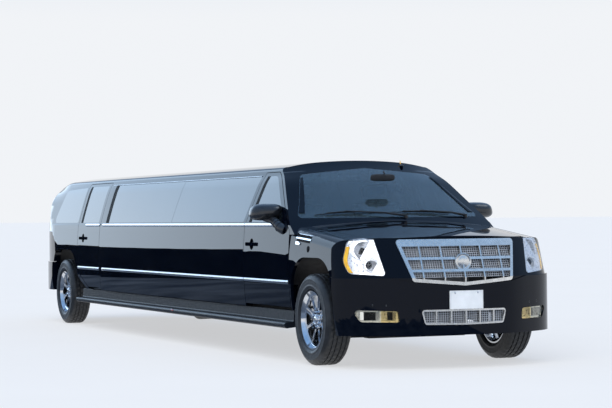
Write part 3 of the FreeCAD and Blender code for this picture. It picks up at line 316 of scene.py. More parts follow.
def reshaped(point):
    """A point of the cabin after its sides lean in to the front and its roof's edges are rounded."""
    x, y, z = (point.x - FRONT_AXLE) * 1000, point.y * 1000, point.z * 1000
    if z <= BELT_LINE or x > CABIN_FRONT:
        return point
    up = min((z - BELT_LINE) / LEAN_RISE, 1.0)
    fading = min(max((x - LEAN_END) / LEAN_FADE, 0.0), 1.0)
    lean = FULL_LEAN * min((CABIN_FRONT - x) / LEAN_ONSET, 1.0) * fading
    crown = eased((z - CROWN_FOOT) / CROWN_RISE)
    tail = eased((TAIL_START - x) / TAIL_LENGTH) * eased((z - TAIL_FOOT) / TAIL_RISE)
    shoulder = max(abs(y) - SHOULDER_START, 0) / SHOULDER_WIDTH
    new_y = y * (1 - lean * up) * (1 - TAIL_NARROWING * tail)
    new_z = z - CROWN_DROP * crown - SHOULDER_DROP * crown * shoulder * shoulder - TAIL_DROP * tail
    return at(x + TAIL_SHIFT * tail, new_y, new_z)


# Mesh pieces

MERGE_DISTANCE = 0.00002
CUT_TOLERANCE = 0.00001
# A turned profile starts and ends this near its axis
CORE = 0.0001
# Rays start this far out, clear of the body
BEYOND_BODY = 2000
STEEP = 0.9


def square_to(along):
    """Two directions square to a direction and to each other."""
    across = along.cross(UP if abs(along.z) < STEEP else AHEAD).normalized()
    return across, along.cross(across)


class Form:
    """Vertices and faces gathered from several simple shapes."""

    def __init__(self):
        self.vertices = []
        self.faces = []

    def loft(self, rings, round_path=False):
        """A skin through rings of as many points each, closed at its ends unless it runs round.

        Empty rings are left out.
        """
        rings = [ring for ring in rings if ring]
        start = len(self.vertices)
        count = len(rings[0])
        for ring in rings:
            self.vertices += [Vector(point) for point in ring]
        spans = len(rings) if round_path else len(rings) - 1
        for span in range(spans):
            here = start + span * count
            there = start + (span + 1) % len(rings) * count
            for index in range(count):
                after = (index + 1) % count
                self.faces.append([here + index, here + after, there + after, there + index])
        if not round_path:
            self.faces.append([start + index for index in range(count)])
            self.faces.append([start + (len(rings) - 1) * count + index for index in reversed(range(count))])
        return self

    def tube(self, path, radius, sides):
        """A round bar along a path of points, its radius one value or one for each point."""
        rings = []
        for index, point in enumerate(path):
            before, after = path[max(index - 1, 0)], path[min(index + 1, len(path) - 1)]
            across, upward = square_to((after - before).normalized())
            reach = radius[index] if isinstance(radius, list) else radius
            rings.append([point + (across * cos(turn) + upward * sin(turn)) * reach
                          for turn in turns(sides)])
        return self.loft(rings)

    def turned(self, profile, centre, axis, sides=48):
        """A profile of (radius, distance along the axis) points, in metres, turned about the axis."""
        across, upward = square_to(axis)
        rings = []
        for turn in turns(sides):
            spoke = across * cos(turn) + upward * sin(turn)
            rings.append([centre + spoke * radius + axis * along for radius, along in profile])
        return self.loft(rings, round_path=True)


def piece(name, form, slot, body="vehicle", smooth=True, material=None, rounding=0.0, sharp=32):
    """A mesh that rides on a body, drawn in with the cabin, with its slot's material or one that is given."""
    mesh = bpy.data.meshes.new(name)
    mesh.from_pydata([tuple(reshaped(point)) for point in form.vertices], [], form.faces)
    mesh.validate()
    made = placed(name, mesh)
    edit = bmesh.new()
    edit.from_mesh(mesh)
    bmesh.ops.remove_doubles(edit, verts=edit.verts, dist=MERGE_DISTANCE)
    bmesh.ops.recalc_face_normals(edit, faces=edit.faces)
    edit.to_mesh(mesh)
    edit.free()
    if smooth:
        mesh.shade_smooth()
        mesh.set_sharp_from_angle(angle=radians(sharp))
    if rounding:
        bevel = made.modifiers.new("edges", "BEVEL")
        bevel.width = rounding
        bevel.segments = 2
        bevel.limit_method = "ANGLE"
    mesh.materials.append(MATERIALS[material or slot])
    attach(made, body)
    return made


def surface(*names):
    """The named CAD nodes as one surface to lay trim on."""
    vertices, faces = [], []
    for name in names:
        mesh = NODES[name].data
        start = len(vertices)
        vertices += [vertex.co.copy() for vertex in mesh.vertices]
        faces += [[start + index for index in face.vertices] for face in mesh.polygons]
    return BVHTree.FromPolygons(vertices, faces)


def side_y(tree, x, z, sign):
    """How far out the body's side stands at a place, in millimetres."""
    hit = tree.ray_cast(at(x, sign * BEYOND_BODY, z), Vector((0, -sign, 0)))[0]
    return hit.y * 1000 if hit else None


def front_x(tree, y, z):
    """How far forward a surface stands, seen from the front, in millimetres from the front axle."""
    hit = tree.ray_cast(at(BEYOND_BODY, y, z), -AHEAD)[0]
    return (hit.x - FRONT_AXLE) * 1000 if hit else None


def front_place(tree, y, z):
    """A point on a surface seen from the front."""
    return at(front_x(tree, y, z), y, z)


CUT_HEIGHTS = (BELT_LINE, 1300, 1370, 1440, 1500, 1560, 1600, 1640, 1677, 1705, 1730, 1755, 1780, 1805)
TAIL_CUT_SPAN = 150
CUT_PLACES = [-440, -540, -640, -1600, -2500, -3500, -4500, -5500, LEAN_END]
CUT_PLACES += range(TAIL_START, TAIL_START - TAIL_LENGTH - 1, -TAIL_CUT_SPAN)


def cut_finer(mesh):
    """A mesh's form after level and upright cuts, so that it can be bent."""
    edit = bmesh.new()
    edit.from_mesh(mesh)
    bmesh.ops.remove_doubles(edit, verts=edit.verts, dist=MERGE_DISTANCE)
    cuts = [(at(0, 0, height), UP) for height in CUT_HEIGHTS]
    cuts += [(at(place, 0, 0), AHEAD) for place in CUT_PLACES]
    for place, across in cuts:
        whole = edit.verts[:] + edit.edges[:] + edit.faces[:]
        bmesh.ops.bisect_plane(edit, geom=whole, plane_co=place, plane_no=across, dist=CUT_TOLERANCE)
    edit.verts.index_update()
    form = Form()
    form.vertices = [vertex.co.copy() for vertex in edit.verts]
    form.faces = [[vertex.index for vertex in face.verts] for face in edit.faces]
    edit.free()
    return form


def shaped_panels():
    """Each cabin node again, cut into finer faces and then drawn to the shape above."""
    for name in SHAPED_NODES:
        node = NODES[name]
        made = piece("shaped_" + name, cut_finer(node.data), SLOTS[name], body_of(node)[0], sharp=28)
        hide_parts(name)


# Bright strips, pillar blacks and other trim along the sides

STRIP_SECTION = ((-0.5, -3), (-0.5, 2.5), (-0.28, 6), (0, 7), (0.28, 6), (0.5, 2.5), (0.5, -3))
STRIP_SPAN = 110
PANEL_SPANS = 12
SUNK = 2

# Where the strips end at the front door's rear edge and the rear door's front edge, on each side of the gap
DOOR_END, WALL_FRONT = -1577, -1591
REAR_DOOR_END, WALL_REAR = -6388, -6374

# Each strip's name, height over the ground, width and material, and its ends on each part of the side
# The low strip takes the darker copy of the chrome, which is painted shade.
STRIPS = (("belt_strip_", 1203, 30, "chrome_trim"), ("low_strip_", 700, 33, "shaded_chrome"))
STRIP_ENDS = {
    "front_door_": ((DOOR_END, -640), (DOOR_END, -464)),
    "side_wall_": ((WALL_REAR, WALL_FRONT), (WALL_REAR, WALL_FRONT)),
    "rear_door_": ((-6962, REAR_DOOR_END), (-7282, REAR_DOOR_END)),
}

# Rear and front end, low and high edge, and rise over the side; the line has one height and its width
WINDOW_TOP_LINE = (-6290, -1660, 1686, 9)
PILLAR_BLACK = (-6172, -6066, 1228, 1680, 1.6)
PILLAR_COVER = (-6312, -6172, 1225, 1683, 2.2)
DOOR_BLACKS = {"front_door_": (-1508, -1440, 1230, 1679, 1.6), "rear_door_": (-7209, -7135, 1230, 1679, 1.6)}


def side_strip(tree, sign, start, end, z, height):
    """A rounded strip along the side between two places, which follows the side's own line."""
    rings = []
    for x in spread(start, end, max(2, round(abs(end - start) / STRIP_SPAN))):
        y = side_y(tree, x, z, sign)
        if y is not None:
            rings.append([at(x, y + sign * out, z + height * share) for share, out in STRIP_SECTION])
    return Form().loft(rings)


def laid_section(tree, sign, spots, rise):
    """A flat section through (x, z) spots, proud of the side and sunk a little in it; empty off the side."""
    places = [(x, side_y(tree, x, z, sign), z) for x, z in spots]
    if any(y is None for x, y, z in places):
        return []
    return ([at(x, y + sign * rise, z) for x, y, z in places]
            + [at(x, y - sign * SUNK, z) for x, y, z in reversed(places)])


def side_panel(tree, sign, rear, front, low, high, rise):
    """A thin panel laid on the side between two places and two heights."""
    return Form().loft([laid_section(tree, sign, ((rear, z), (front, z)), rise)
                        for z in spread(low, high, PANEL_SPANS)])


def side_strips(side, sign):
    """Bright strips along the belt and low on the doors and the wall between them."""
    for part, ends in STRIP_ENDS.items():
        node = part + side
        tree = surface(node)
        body = body_of(NODES[node])[0]
        for (name, z, height, material), (rear, front) in zip(STRIPS, ends):
            strip = side_strip(tree, sign, rear, front, z, height)
            piece(name + node, strip, "grille_silver", body, material=material)


def window_trim(side, sign):
    """The bright line over the long window, and the blacked pillars beside it and on the doors."""
    tree = surface("side_wall_" + side, "side_glass", "roof_panel")
    line = side_strip(tree, sign, *WINDOW_TOP_LINE)
    piece("window_top_line_" + side, line, "grille_silver", material="chrome_trim")
    pillar = side_panel(tree, sign, *PILLAR_BLACK)
    piece("pillar_black_" + side, pillar, "black_plastic", material="matt_black")
    piece("pillar_cover_" + side, side_panel(tree, sign, *PILLAR_COVER), "body_paint")
    for part, place in DOOR_BLACKS.items():
        door = part + side
        panel = side_panel(surface(door, door + "_glass"), sign, *place)
        piece("window_black_" + door, panel, "black_plastic", door, material="matt_black")


# Vents in the front wings, with a plug before each

# Rear and front end, low and high edge at the rear end, and rise over the wing
# The slots are flat matt black bands laid on the wing: painted shade for the dark recesses of the vent's
# openings.
VENT_SHADE_BANDS = ((-292, 8, 1106, 1128, 3.5), (-284, 4, 1066, 1086, 3.5))
VENT_BARS = ((-296, 24, 1088, 1104, 7), (-276, 10, 1126, 1131, 4))
VENT_SLOPE = -0.07
VENT_LIP = ((-298, 1034), (-294, 1066), (-236, 1062), (-190, 1044), (-216, 1030))
LIP_RISE, LIP_BACK = 8, 3
PLUG_PLACE = (-18, 993)
PLUG_PROFILE = ((CORE, 0.006), (0.018, 0.005), (0.028, 0.002), (0.032, -0.006), (CORE, -0.006))


def sloped_band(form, tree, sign, rear, front, low, high, rise):
    """A thin band that follows a curved panel and drops a little to the front."""
    rings = []
    for x in spread(rear, front, PANEL_SPANS):
        drop = VENT_SLOPE * (x - rear)
        rings.append(laid_section(tree, sign, ((x, low + drop), (x, high + drop)), rise))
    form.loft(rings)


def side_plate(form, tree, sign, outline):
    """A plate with a free outline of (x, z) points, laid on the side."""
    places = [(x, side_y(tree, x, z, sign), z) for x, z in outline]
    form.loft([[at(x, y - sign * LIP_BACK, z) for x, y, z in places],
               [at(x, y + sign * LIP_RISE, z) for x, y, z in places]])


def fender_vent(side, sign):
    """A louvre with a bright bar through it and a bright lip below; its slots are flat matt black bands,
    painted shade for their recesses.
    """
    tree = surface("front_wings")
    shade_bands = Form()
    # Painted shade: flat matt black bands where the vent's recessed slots stand.
    for slot in VENT_SHADE_BANDS:
        sloped_band(shade_bands, tree, sign, *slot)
    piece("fender_vent_" + side, shade_bands, "black_plastic", material="matt_black", rounding=0.001)
    trim = Form()
    for bar in VENT_BARS:
        sloped_band(trim, tree, sign, *bar)
    side_plate(trim, tree, sign, VENT_LIP)
    piece("fender_vent_trim_" + side, trim, "grille_silver", material="chrome_trim", rounding=0.003)
    x, z = PLUG_PLACE
    plug = Form().turned(PLUG_PROFILE, at(x, side_y(tree, x, z, sign), z), LEFT * sign)
    piece("wing_plug_" + side, plug, "black_plastic", material="matt_black")


# Grille: a plain disc and fine wire

EMBLEM_Z = 888
EMBLEM_PROFILE = ((CORE, 0.010), (0.022, 0.0092), (0.044, 0.006), (0.050, 0.003), (0.056, 0.003),
                  (0.060, 0.007), (0.068, 0.009), (0.074, 0.006), (0.076, -0.012), (CORE, -0.012))
WIRE_HALF = 0.0026
WIRE_PROUD = 1.5
WIRE_MARGIN = 12
WIRE_PITCH_ACROSS, WIRE_PITCH_UP = 20, 18
DEPTH_STEP = 4
# Low and high edge and half width of the wire
WIRE_AREAS = {"grille_wire_upper": (764, 1064, 540), "grille_wire_lower": (372, 496, 390)}


def emblem():
    """A plain bright disc with a raised rim and a blank domed face."""
    centre = front_place(surface("grille_frames"), 0, EMBLEM_Z)
    piece("emblem_disc", Form().turned(EMBLEM_PROFILE, centre, AHEAD, sides=64), "grille_silver")


def mesh_depth(tree, y, low, high):
    """Where the lattice stands behind the grille's opening at one place across it: (z, x) points."""
    depths = [(z, front_x(tree, y, z)) for z in range(low, high + 1, DEPTH_STEP)]
    return [(z, x) for z, x in depths if x is not None]


def between(points, place):
    """A value at a place, drawn straight between the nearest known points."""
    if place <= points[0][0]:
        return points[0][1]
    for (low, low_value), (high, high_value) in zip(points, points[1:]):
        if place <= high:
            return low_value + (high_value - low_value) * (place - low) / (high - low)
    return points[-1][1]


def square_wire(form, first, second, side):
    """A square wire between two points, its faces square to the side direction and to ahead."""
    out, forward = side * WIRE_HALF, AHEAD * WIRE_HALF
    form.loft([[point + out + forward, point - out + forward, point - out - forward, point + out - forward]
               for point in (first, second)])


def grille_wire(name, low, high, half_width):
    """Fine square wire just in front of the lattice, cut where the bodywork stands before it."""
    lattice = surface("grille_mesh")
    skin = surface("front_bumper", "front_wings", "bonnet")
    crossings = {}
    for y in range(-half_width, half_width + 1, WIRE_PITCH_ACROSS):
        depths = mesh_depth(lattice, y, low, high)
        if len(depths) > 1:
            for z in range(low, high + 1, WIRE_PITCH_UP):
                x = between(depths, z) + WIRE_PROUD
                cover = front_x(skin, y, z)
                inside = depths[0][0] - WIRE_MARGIN <= z <= depths[-1][0] + WIRE_MARGIN
                if inside and (cover is None or cover < x):
                    crossings[y, z] = at(x, y, z)
    form = Form()
    for (y, z), point in crossings.items():
        for neighbour, side in (((y + WIRE_PITCH_ACROSS, z), UP), ((y, z + WIRE_PITCH_UP), LEFT)):
            if neighbour in crossings:
                square_wire(form, point, crossings[neighbour], side)
    made = piece(name, form, "black_plastic", smooth=False, material="mesh_silver")
    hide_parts("grille_mesh")


# Headlamps: what stands inside and on the lens

LENS_SEARCH = range(940, 640, -2)
AMBER_HEIGHTS = range(806, 1023, 18)
AMBER_WIDTH, AMBER_INSET = 26, 3
HIGH_BOWL, LOW_BOWL = (790, 995), (745, 865)
BOWL_RADII = ((HIGH_BOWL, 85), (LOW_BOWL, 53))
BEZEL_WIDTH, BEZEL_SIDES, BOWL_MARGIN = 8, 40, 2
STUD_ROWS, STUD_COLUMNS = range(820, 1051, 46), range(705, 842, 34)
STUD_CLEARANCES = ((HIGH_BOWL, 104), (LOW_BOWL, 74))
STUD_PROFILE = ((CORE, 0.005), (0.006, 0.004), (0.010, -0.001), (CORE, -0.003))
PROJECTOR_PROFILE = ((CORE, 0.042), (0.010, 0.040), (0.019, 0.032), (0.024, 0.020), (0.025, 0.0), (CORE, 0.0))
PROJECTOR_RING = ((0.026, -0.002), (0.026, 0.020), (0.029, 0.023), (0.034, 0.020), (0.036, -0.002))


def lens_edge(lens, z, sign):
    """The outermost place where a lamp's lens stands at a height, seen from the front: y and x."""
    for reach in LENS_SEARCH:
        x = front_x(lens, sign * reach, z)
        if x is not None:
            return sign * reach, x
    return None


def amber_strip(lens, sign):
    """A thin strip on the lens along its outer edge."""
    proud, sunk = Vector((0.0015, sign * 0.0012, 0)), Vector((-0.003, -sign * 0.002, 0))
    rings = []
    for z in AMBER_HEIGHTS:
        edge = lens_edge(lens, z, sign)
        if edge:
            y, x = edge
            inner_x = front_x(lens, y - sign * AMBER_WIDTH, z)
            if inner_x is not None:
                near, far = at(x, y - sign * AMBER_INSET, z), at(inner_x, y - sign * AMBER_WIDTH, z)
                crest = near.lerp(far, 0.5) + proud * 2
                rings.append([near + proud, crest, far + proud, far + sunk, near + sunk])
    return Form().loft(rings)


def bezel(form, housing, y, z, radius):
    """A raised ring round a bowl, which follows the housing's slanted face."""
    beside, outer = radius + BOWL_MARGIN, radius + BEZEL_WIDTH
    section = ((radius, -3), (radius, 4), (radius + BEZEL_WIDTH / 2, 6), (outer, 3), (outer, -3))
    rings = []
    for turn in turns(BEZEL_SIDES):
        across, upward = cos(turn), sin(turn)
        x = front_x(housing, y + beside * across, z + beside * upward)
        if x is None:
            return
        rings.append([at(x + lift, y + reach * across, z + reach * upward) for reach, lift in section])
    form.loft(rings, round_path=True)


def studs(form, housing, lens, sign):
    """Small bright domes in rows on the housing, clear of its bowls."""
    for z in STUD_ROWS:
        for y in STUD_COLUMNS:
            clear = all((y - bowl_y) ** 2 + (z - bowl_z) ** 2 > reach ** 2
                        for (bowl_y, bowl_z), reach in STUD_CLEARANCES)
            face = front_x(housing, sign * y, z)
            if clear and face and front_x(lens, sign * y, z):
                form.turned(STUD_PROFILE, at(face, sign * y, z), AHEAD, sides=12)


def headlamp(side, sign):
    """An amber strip on the lens, and behind it bezels round the bowls, studs and a small projector."""
    lens, housing = surface("headlamps"), surface("lamp_reflectors")
    piece("headlamp_amber_" + side, amber_strip(lens, sign), "tail_lamp_lens", material="amber_lens")
    bright = Form()
    for (y, z), radius in BOWL_RADII:
        bezel(bright, housing, sign * y, z, radius)
    studs(bright, housing, lens, sign)
    piece("headlamp_bezels_" + side, bright, "lamp_reflector")
    foot = front_place(housing, sign * LOW_BOWL[0], LOW_BOWL[1])
    projector = Form().turned(PROJECTOR_PROFILE, foot, AHEAD, sides=32)
    piece("headlamp_projector_" + side, projector, "lamp_lens", material="privacy_glass")
    ring = Form().turned(PROJECTOR_RING, foot, AHEAD, sides=32)
    piece("headlamp_ring_" + side, ring, "lamp_reflector", material="chrome_trim")


# Bumper: the plain plate's edge and bolts, and the sensors

PLATE_RIM, RIM_PROUD, RIM_SUNK = 0.006, 0.0025, 0.001
RIM_TAPER = 0.995
BOLT_REACH, BOLT_BELOW_TOP = 0.105, 0.018
BOLT_PROFILE = ((CORE, 0.004), (0.004, 0.0038), (0.007, 0.001), (0.007, -0.001), (CORE, -0.001))
SENSOR_PLACES = ((760, 540), (662, 536))
SENSOR_PROFILE = ((CORE, 0.0015), (0.008, 0.0012), (0.0095, -0.001), (CORE, -0.002))


def plate_dress():
    """A narrow raised edge and two bolts on the plain plate."""
    low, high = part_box("front_plate")
    x = high.x
    rings = []
    for corner_y, corner_z, inward_y, inward_z in ((low.y, low.z, 1, 1), (high.y, low.z, -1, 1),
                                                   (high.y, high.z, -1, -1), (low.y, high.z, 1, -1)):
        y, z = corner_y + PLATE_RIM * inward_y, corner_z + PLATE_RIM * inward_z
        rings.append([Vector((x - RIM_SUNK, corner_y, corner_z)),
                      Vector((x + RIM_PROUD, corner_y * RIM_TAPER, corner_z)),
                      Vector((x + RIM_PROUD, y, z)), Vector((x - RIM_SUNK, y, z))])
    piece("plate_edge", Form().loft(rings, round_path=True), "plate_white", smooth=False)
    bolts = Form()
    for y in (-BOLT_REACH, BOLT_REACH):
        bolts.turned(BOLT_PROFILE, Vector((x, y, high.z - BOLT_BELOW_TOP)), AHEAD, sides=20)
    piece("plate_bolts", bolts, "grille_silver", material="chrome_trim")


def bumper_sensors():
    """Four small round parking sensors."""
    bumper = surface("front_bumper")
    form = Form()
    for y, z in SENSOR_PLACES:
        for sign in (-1, 1):
            form.turned(SENSOR_PROFILE, front_place(bumper, sign * y, z), AHEAD, sides=24)
    piece("bumper_sensors", form, "black_plastic", material="mirror_shell")


# Windscreen and roof: wipers, inner mirror, aerial and the screen's borders

# Each wiper's pivot and the two ends of its blade as (y, z)
WIPERS = (((90, 1268), (-745, 1282), (-190, 1304)), ((735, 1268), (-40, 1300), (560, 1286)))
BLADE_SPANS, BLADE_BOW, BLADE_LIFT, PIVOT_LIFT = 10, 10, 9, 14
BLADE_RADIUS, BACKING_RADIUS, PIVOT_RADIUS = 0.0045, 0.006, 0.016
BACKING_OFFSET, ARM_OFFSET, KNEE_OFFSET = (0.008, 0, 0.007), (0.012, 0, 0.012), (0.012, 0, 0.010)
KNEE_SHARE = 0.35
PIVOT_SUNK, PIVOT_RISE = 0.05, 0.008
ARM_RADII = [0.011, 0.009, 0.006]
SCREEN_FOOT_X = -330
SCREEN_SLANT = 0.7


def over_screen(screen, y, z, lift):
    """A point lifted off the windscreen, or off the line of its foot below the glass."""
    x = front_x(screen, y, z)
    return at((SCREEN_FOOT_X if x is None else x) + lift * SCREEN_SLANT, y, z + lift * SCREEN_SLANT)


def wipers():
    screen = surface("windscreen")
    form = Form()
    for pivot, (start_y, start_z), (end_y, end_z) in WIPERS:
        bow = [BLADE_BOW * sin(pi * step / BLADE_SPANS) for step in range(BLADE_SPANS + 1)]
        blade = [over_screen(screen, y, z + rise, BLADE_LIFT) for y, z, rise in
                 zip(spread(start_y, end_y, BLADE_SPANS), spread(start_z, end_z, BLADE_SPANS), bow)]
        form.tube(blade, BLADE_RADIUS, sides=6)
        form.tube([point + Vector(BACKING_OFFSET) for point in blade[2:-2]], BACKING_RADIUS, sides=6)
        middle = blade[BLADE_SPANS // 2] + Vector(ARM_OFFSET)
        foot = over_screen(screen, *pivot, PIVOT_LIFT)
        knee = foot.lerp(middle, KNEE_SHARE) + Vector(KNEE_OFFSET)
        form.tube([foot, knee, middle], ARM_RADII, sides=8)
        form.tube([foot - UP * PIVOT_SUNK, foot + UP * PIVOT_RISE], PIVOT_RADIUS, sides=12)
    piece("wipers", form, "black_plastic")


def rounded_ring(centre, across, upward, size, share=1, inset=0, power=4, points=28):
    """A ring of points on a rounded rectangle, from its half width and half height, a share and an inset."""
    half_width, half_height = [half * share - inset for half in size]
    ring = []
    for turn in turns(points):
        c, s = cos(turn), sin(turn)
        ring.append(centre + across * half_width * copysign(abs(c) ** (2 / power), c)
                    + upward * half_height * copysign(abs(s) ** (2 / power), s))
    return ring


INNER_CENTRE = (-640, 0, 1628)
INNER_UPRIGHT = Vector((0.25, 0, 0.97))
INNER_BACK = ((0.024, 0.55), (0.018, 0.85), (0.004, 1.0), (-0.014, 1.0), (-0.017, 0.96))
INNER_STEM, INNER_STEM_RADIUS = ((0.016, 0, 0.01), (0.035, 0, 0.045), (0.02, 0, 0.062)), 0.009
INNER_SIZE, INNER_GLASS_SIZE = (0.125, 0.038), (0.118, 0.032)
INNER_GLASS_RINGS = (-0.0165, -0.019)


def inner_mirror():
    centre = at(*INNER_CENTRE)
    shell = Form()
    shell.loft([rounded_ring(centre + AHEAD * out, LEFT, INNER_UPRIGHT, INNER_SIZE, share)
                for out, share in INNER_BACK])
    shell.tube([centre + Vector(offset) for offset in INNER_STEM], INNER_STEM_RADIUS, sides=10)
    piece("inner_mirror", shell, "interior_plastic")
    glass = Form().loft([rounded_ring(centre + AHEAD * out, LEFT, INNER_UPRIGHT, INNER_GLASS_SIZE)
                         for out in INNER_GLASS_RINGS])
    piece("inner_mirror_glass", glass, "lamp_reflector", material="chrome_trim")


AERIAL_PLACE = (-1150, 450)
ABOVE_ROOF = 2500
# Rings of the foot: rise, lean to the rear, and half length and half width
AERIAL_FOOT = ((-0.004, 0, (0.05, 0.02)), (0.003, 0, (0.048, 0.018)), (0.012, 0.006, (0.03, 0.011)),
               (0.018, 0.010, (0.012, 0.006)))
AERIAL_ROD, AERIAL_RADII = ((-0.010, 0, 0.016), (-0.018, 0, 0.05)), [0.0055, 0.0035]
AERIAL_ROUNDING = {"power": 2.4, "points": 20}


def aerial():
    """A short roof aerial that leans back on a low foot."""
    place = surface("roof_panel").ray_cast(at(*AERIAL_PLACE, ABOVE_ROOF), -UP)[0]
    foot = Form().loft([rounded_ring(place + Vector((-lean, 0, rise)), AHEAD, LEFT, size, **AERIAL_ROUNDING)
                        for rise, lean, size in AERIAL_FOOT])
    piece("aerial_foot", foot, "black_plastic")
    rod = Form().tube([place + Vector(offset) for offset in AERIAL_ROD], AERIAL_RADII, sides=10)
    piece("aerial_rod", rod, "tail_lamp_lens", material="amber_lens")


BORDER_HEIGHTS = range(1268, 1713, 37)
BORDER_FOOT_WIDTH, BORDER_TOP_WIDTH = 62, 22
SCREEN_EDGE_Y, SCREEN_EDGE_Z, SCREEN_EDGE_LEAN = 892, 1262, 0.49
BORDER_INSET = 4
BORDER_PROUD = (0.005, 0.002, 0.004)
BORDER_CREST, BORDER_SUNK = 1.5, 0.5


def screen_sides():
    """Body-coloured borders down the windscreen's sides, proud of the glass and wider at its foot."""
    screen = surface("windscreen")
    form = Form()
    for sign in (-1, 1):
        out = Vector((BORDER_PROUD[0], sign * BORDER_PROUD[1], BORDER_PROUD[2]))
        rings = []
        for level, z in enumerate(BORDER_HEIGHTS):
            share = level / (len(BORDER_HEIGHTS) - 1)
            edge = SCREEN_EDGE_Y - (z - SCREEN_EDGE_Z) * SCREEN_EDGE_LEAN
            inner = edge - BORDER_FOOT_WIDTH * (1 - share) - BORDER_TOP_WIDTH * share
            ys = [sign * y for y in (edge - BORDER_INSET, (edge + inner) / 2, inner)]
            xs = [front_x(screen, y, z) for y in ys]
            if None not in xs:
                first, middle, last = [at(x, y, z) for x, y in zip(xs, ys)]
                sunk, crest = out * BORDER_SUNK, middle + out * BORDER_CREST
                rings.append([first + sunk, crest, last + out, last - sunk, first - sunk])
        form.loft(rings)
    piece("screen_sides", form, "body_paint")


# Door mirrors

MIRROR_CENTRE = (1068, 1320)
MIRROR_SIZE, MIRROR_GLASS_SIZE = (0.152, 0.075), (0.128, 0.058)
MIRROR_FACE_X = -904
# Rings of the head: x and share of its full size; and of the arm: x, y, z and radius
MIRROR_HEAD = ((MIRROR_FACE_X, 0.90), (-898, 0.96), (-880, 1.0), (-850, 1.0), (-820, 0.97), (-795, 0.90),
               (-773, 0.78), (-757, 0.62), (-747, 0.44), (-741, 0.22))
MIRROR_ARM = ((-850, 1090, 1268, 22), (-812, 1064, 1258, 28), (-770, 1040, 1250, 32), (-728, 1024, 1236, 35),
              (-690, 1013, 1214, 39), (-652, 1003, 1188, 43), (-618, 990, 1168, 45), (-596, 972, 1158, 44))
# Points of the arm that bear a rib, and a rib's section: place along the arm and rise over it
ARM_RIBS = (3, 4, 5)
RIB_SECTION = ((-0.006, 0), (-0.003, 0.004), (0.003, 0.004), (0.006, 0))
GLASS_RINGS = ((0.003, 0), (-0.0015, 0.001), (-0.002, 0.003))
MIRROR_ROUNDING = {"power": 3.0, "points": 36}
ARM_SIDES = 20


def door_mirror(side, sign):
    """A rounded head on a thick ribbed arm, with its looking glass, in place of the plainer solid."""
    y, z = MIRROR_CENTRE
    path = [at(x, sign * out, height) for x, out, height, radius in MIRROR_ARM]
    radii = [radius / 1000 for x, out, height, radius in MIRROR_ARM]
    form = Form()
    form.loft([rounded_ring(at(x, sign * y, z), LEFT, UP, MIRROR_SIZE, share, **MIRROR_ROUNDING)
               for x, share in MIRROR_HEAD])
    form.tube(path, radii, ARM_SIDES)
    for rib in ARM_RIBS:
        centre = path[rib]
        along = (path[rib + 1] - centre).normalized()
        form.tube([centre + along * place for place, rise in RIB_SECTION],
                  [radii[rib] + rise for place, rise in RIB_SECTION], ARM_SIDES)
    made = piece("mirror_shell_" + side, form, "mirror_shell", "front_door_" + side, sharp=40)
    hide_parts("mirror_" + side)
    face = at(MIRROR_FACE_X, sign * y, z)
    glass = Form().loft([rounded_ring(face + AHEAD * out, LEFT, UP, MIRROR_GLASS_SIZE, inset=inset,
                                      **MIRROR_ROUNDING) for out, inset in GLASS_RINGS])
    piece("mirror_glass_" + side, glass, "lamp_reflector", "front_door_" + side, material="chrome_trim")


# Wheels: rubber with tread and sidewall rings, lugs and cap

# Half of a tyre's section: radius and distance from its middle
TYRE_HALF = [(258, 98), (264, 108), (272, 113.5), (283, 116), (286, 118.5), (292, 118.8), (295, 117),
             (310, 119), (326, 120), (340, 119), (344, 120.5), (349, 119.5), (352, 116.5), (362, 112.5),
             (372, 107), (380, 100), (387, 92), (390.5, 84), (392.4, 70), (384, 67), (384, 58), (393, 55),
             (393, 31), (384, 28), (384, 19), (393, 16)]
TYRE_SPANS = 156
BLOCK_SPANS = 4
MIDDLE_ROW, INNER_ROW = 17, 57
TREAD_RADIUS, TREAD_SIPE = 390, 6.5
SHOULDER_RADIUS, SHOULDER_SIPE = 378, 3
CAP_PROFILE = ((CORE, 0.078), (0.016, 0.077), (0.026, 0.074), (0.029, 0.071), (0.033, 0.071), (0.036, 0.073),
               (0.040, 0.070), (0.042, 0.060), (CORE, 0.060))
LUGS, LUG_CIRCLE, LUG_SIDES = 6, 0.062, 6
LUG_PROFILE = ((CORE, 0.074), (0.006, 0.073), (0.0095, 0.069), (0.0115, 0.067), (0.0115, 0.052),
               (CORE, 0.052))


def sipe_depth(span, radius, side):
    """How deep a tread groove cuts across at a place of the section; each row of blocks starts elsewhere."""
    row = 0 if abs(side) < MIDDLE_ROW else (1 if abs(side) < INNER_ROW else 2)
    if (span + row * 2) % BLOCK_SPANS or radius <= SHOULDER_RADIUS:
        return 0
    return TREAD_SIPE if radius > TREAD_RADIUS else SHOULDER_SIPE


def tyre(name, centre, sign, body):
    """A tyre with ringed sidewalls and a blocked tread, in place of the plain ring."""
    profile = TYRE_HALF + [(radius, -side) for radius, side in reversed(TYRE_HALF)]
    rings = []
    for span, turn in enumerate(turns(TYRE_SPANS)):
        ring = []
        for radius, side in profile:
            reach = (radius - sipe_depth(span, radius, side)) / 1000
            ring.append(centre + Vector((reach * cos(turn), sign * side / 1000, reach * sin(turn))))
        rings.append(ring)
    made = piece("rubber_" + name, Form().loft(rings, round_path=True), "tyre", body, sharp=40)
    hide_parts("tyre_" + name)


def wheel_fittings(name, centre, sign, body):
    """A stepped cap with lug nuts in a ring round it."""
    outward = LEFT * sign
    form = Form().turned(CAP_PROFILE, centre, outward, sides=40)
    for lug in range(LUGS):
        turn = 2 * pi * (lug + 0.5) / LUGS
        foot = centre + Vector((cos(turn), 0, sin(turn))) * LUG_CIRCLE
        form.turned(LUG_PROFILE, foot, outward, sides=LUG_SIDES)
    piece("wheel_fittings_" + name, form, "wheel_chrome", body, sharp=25)


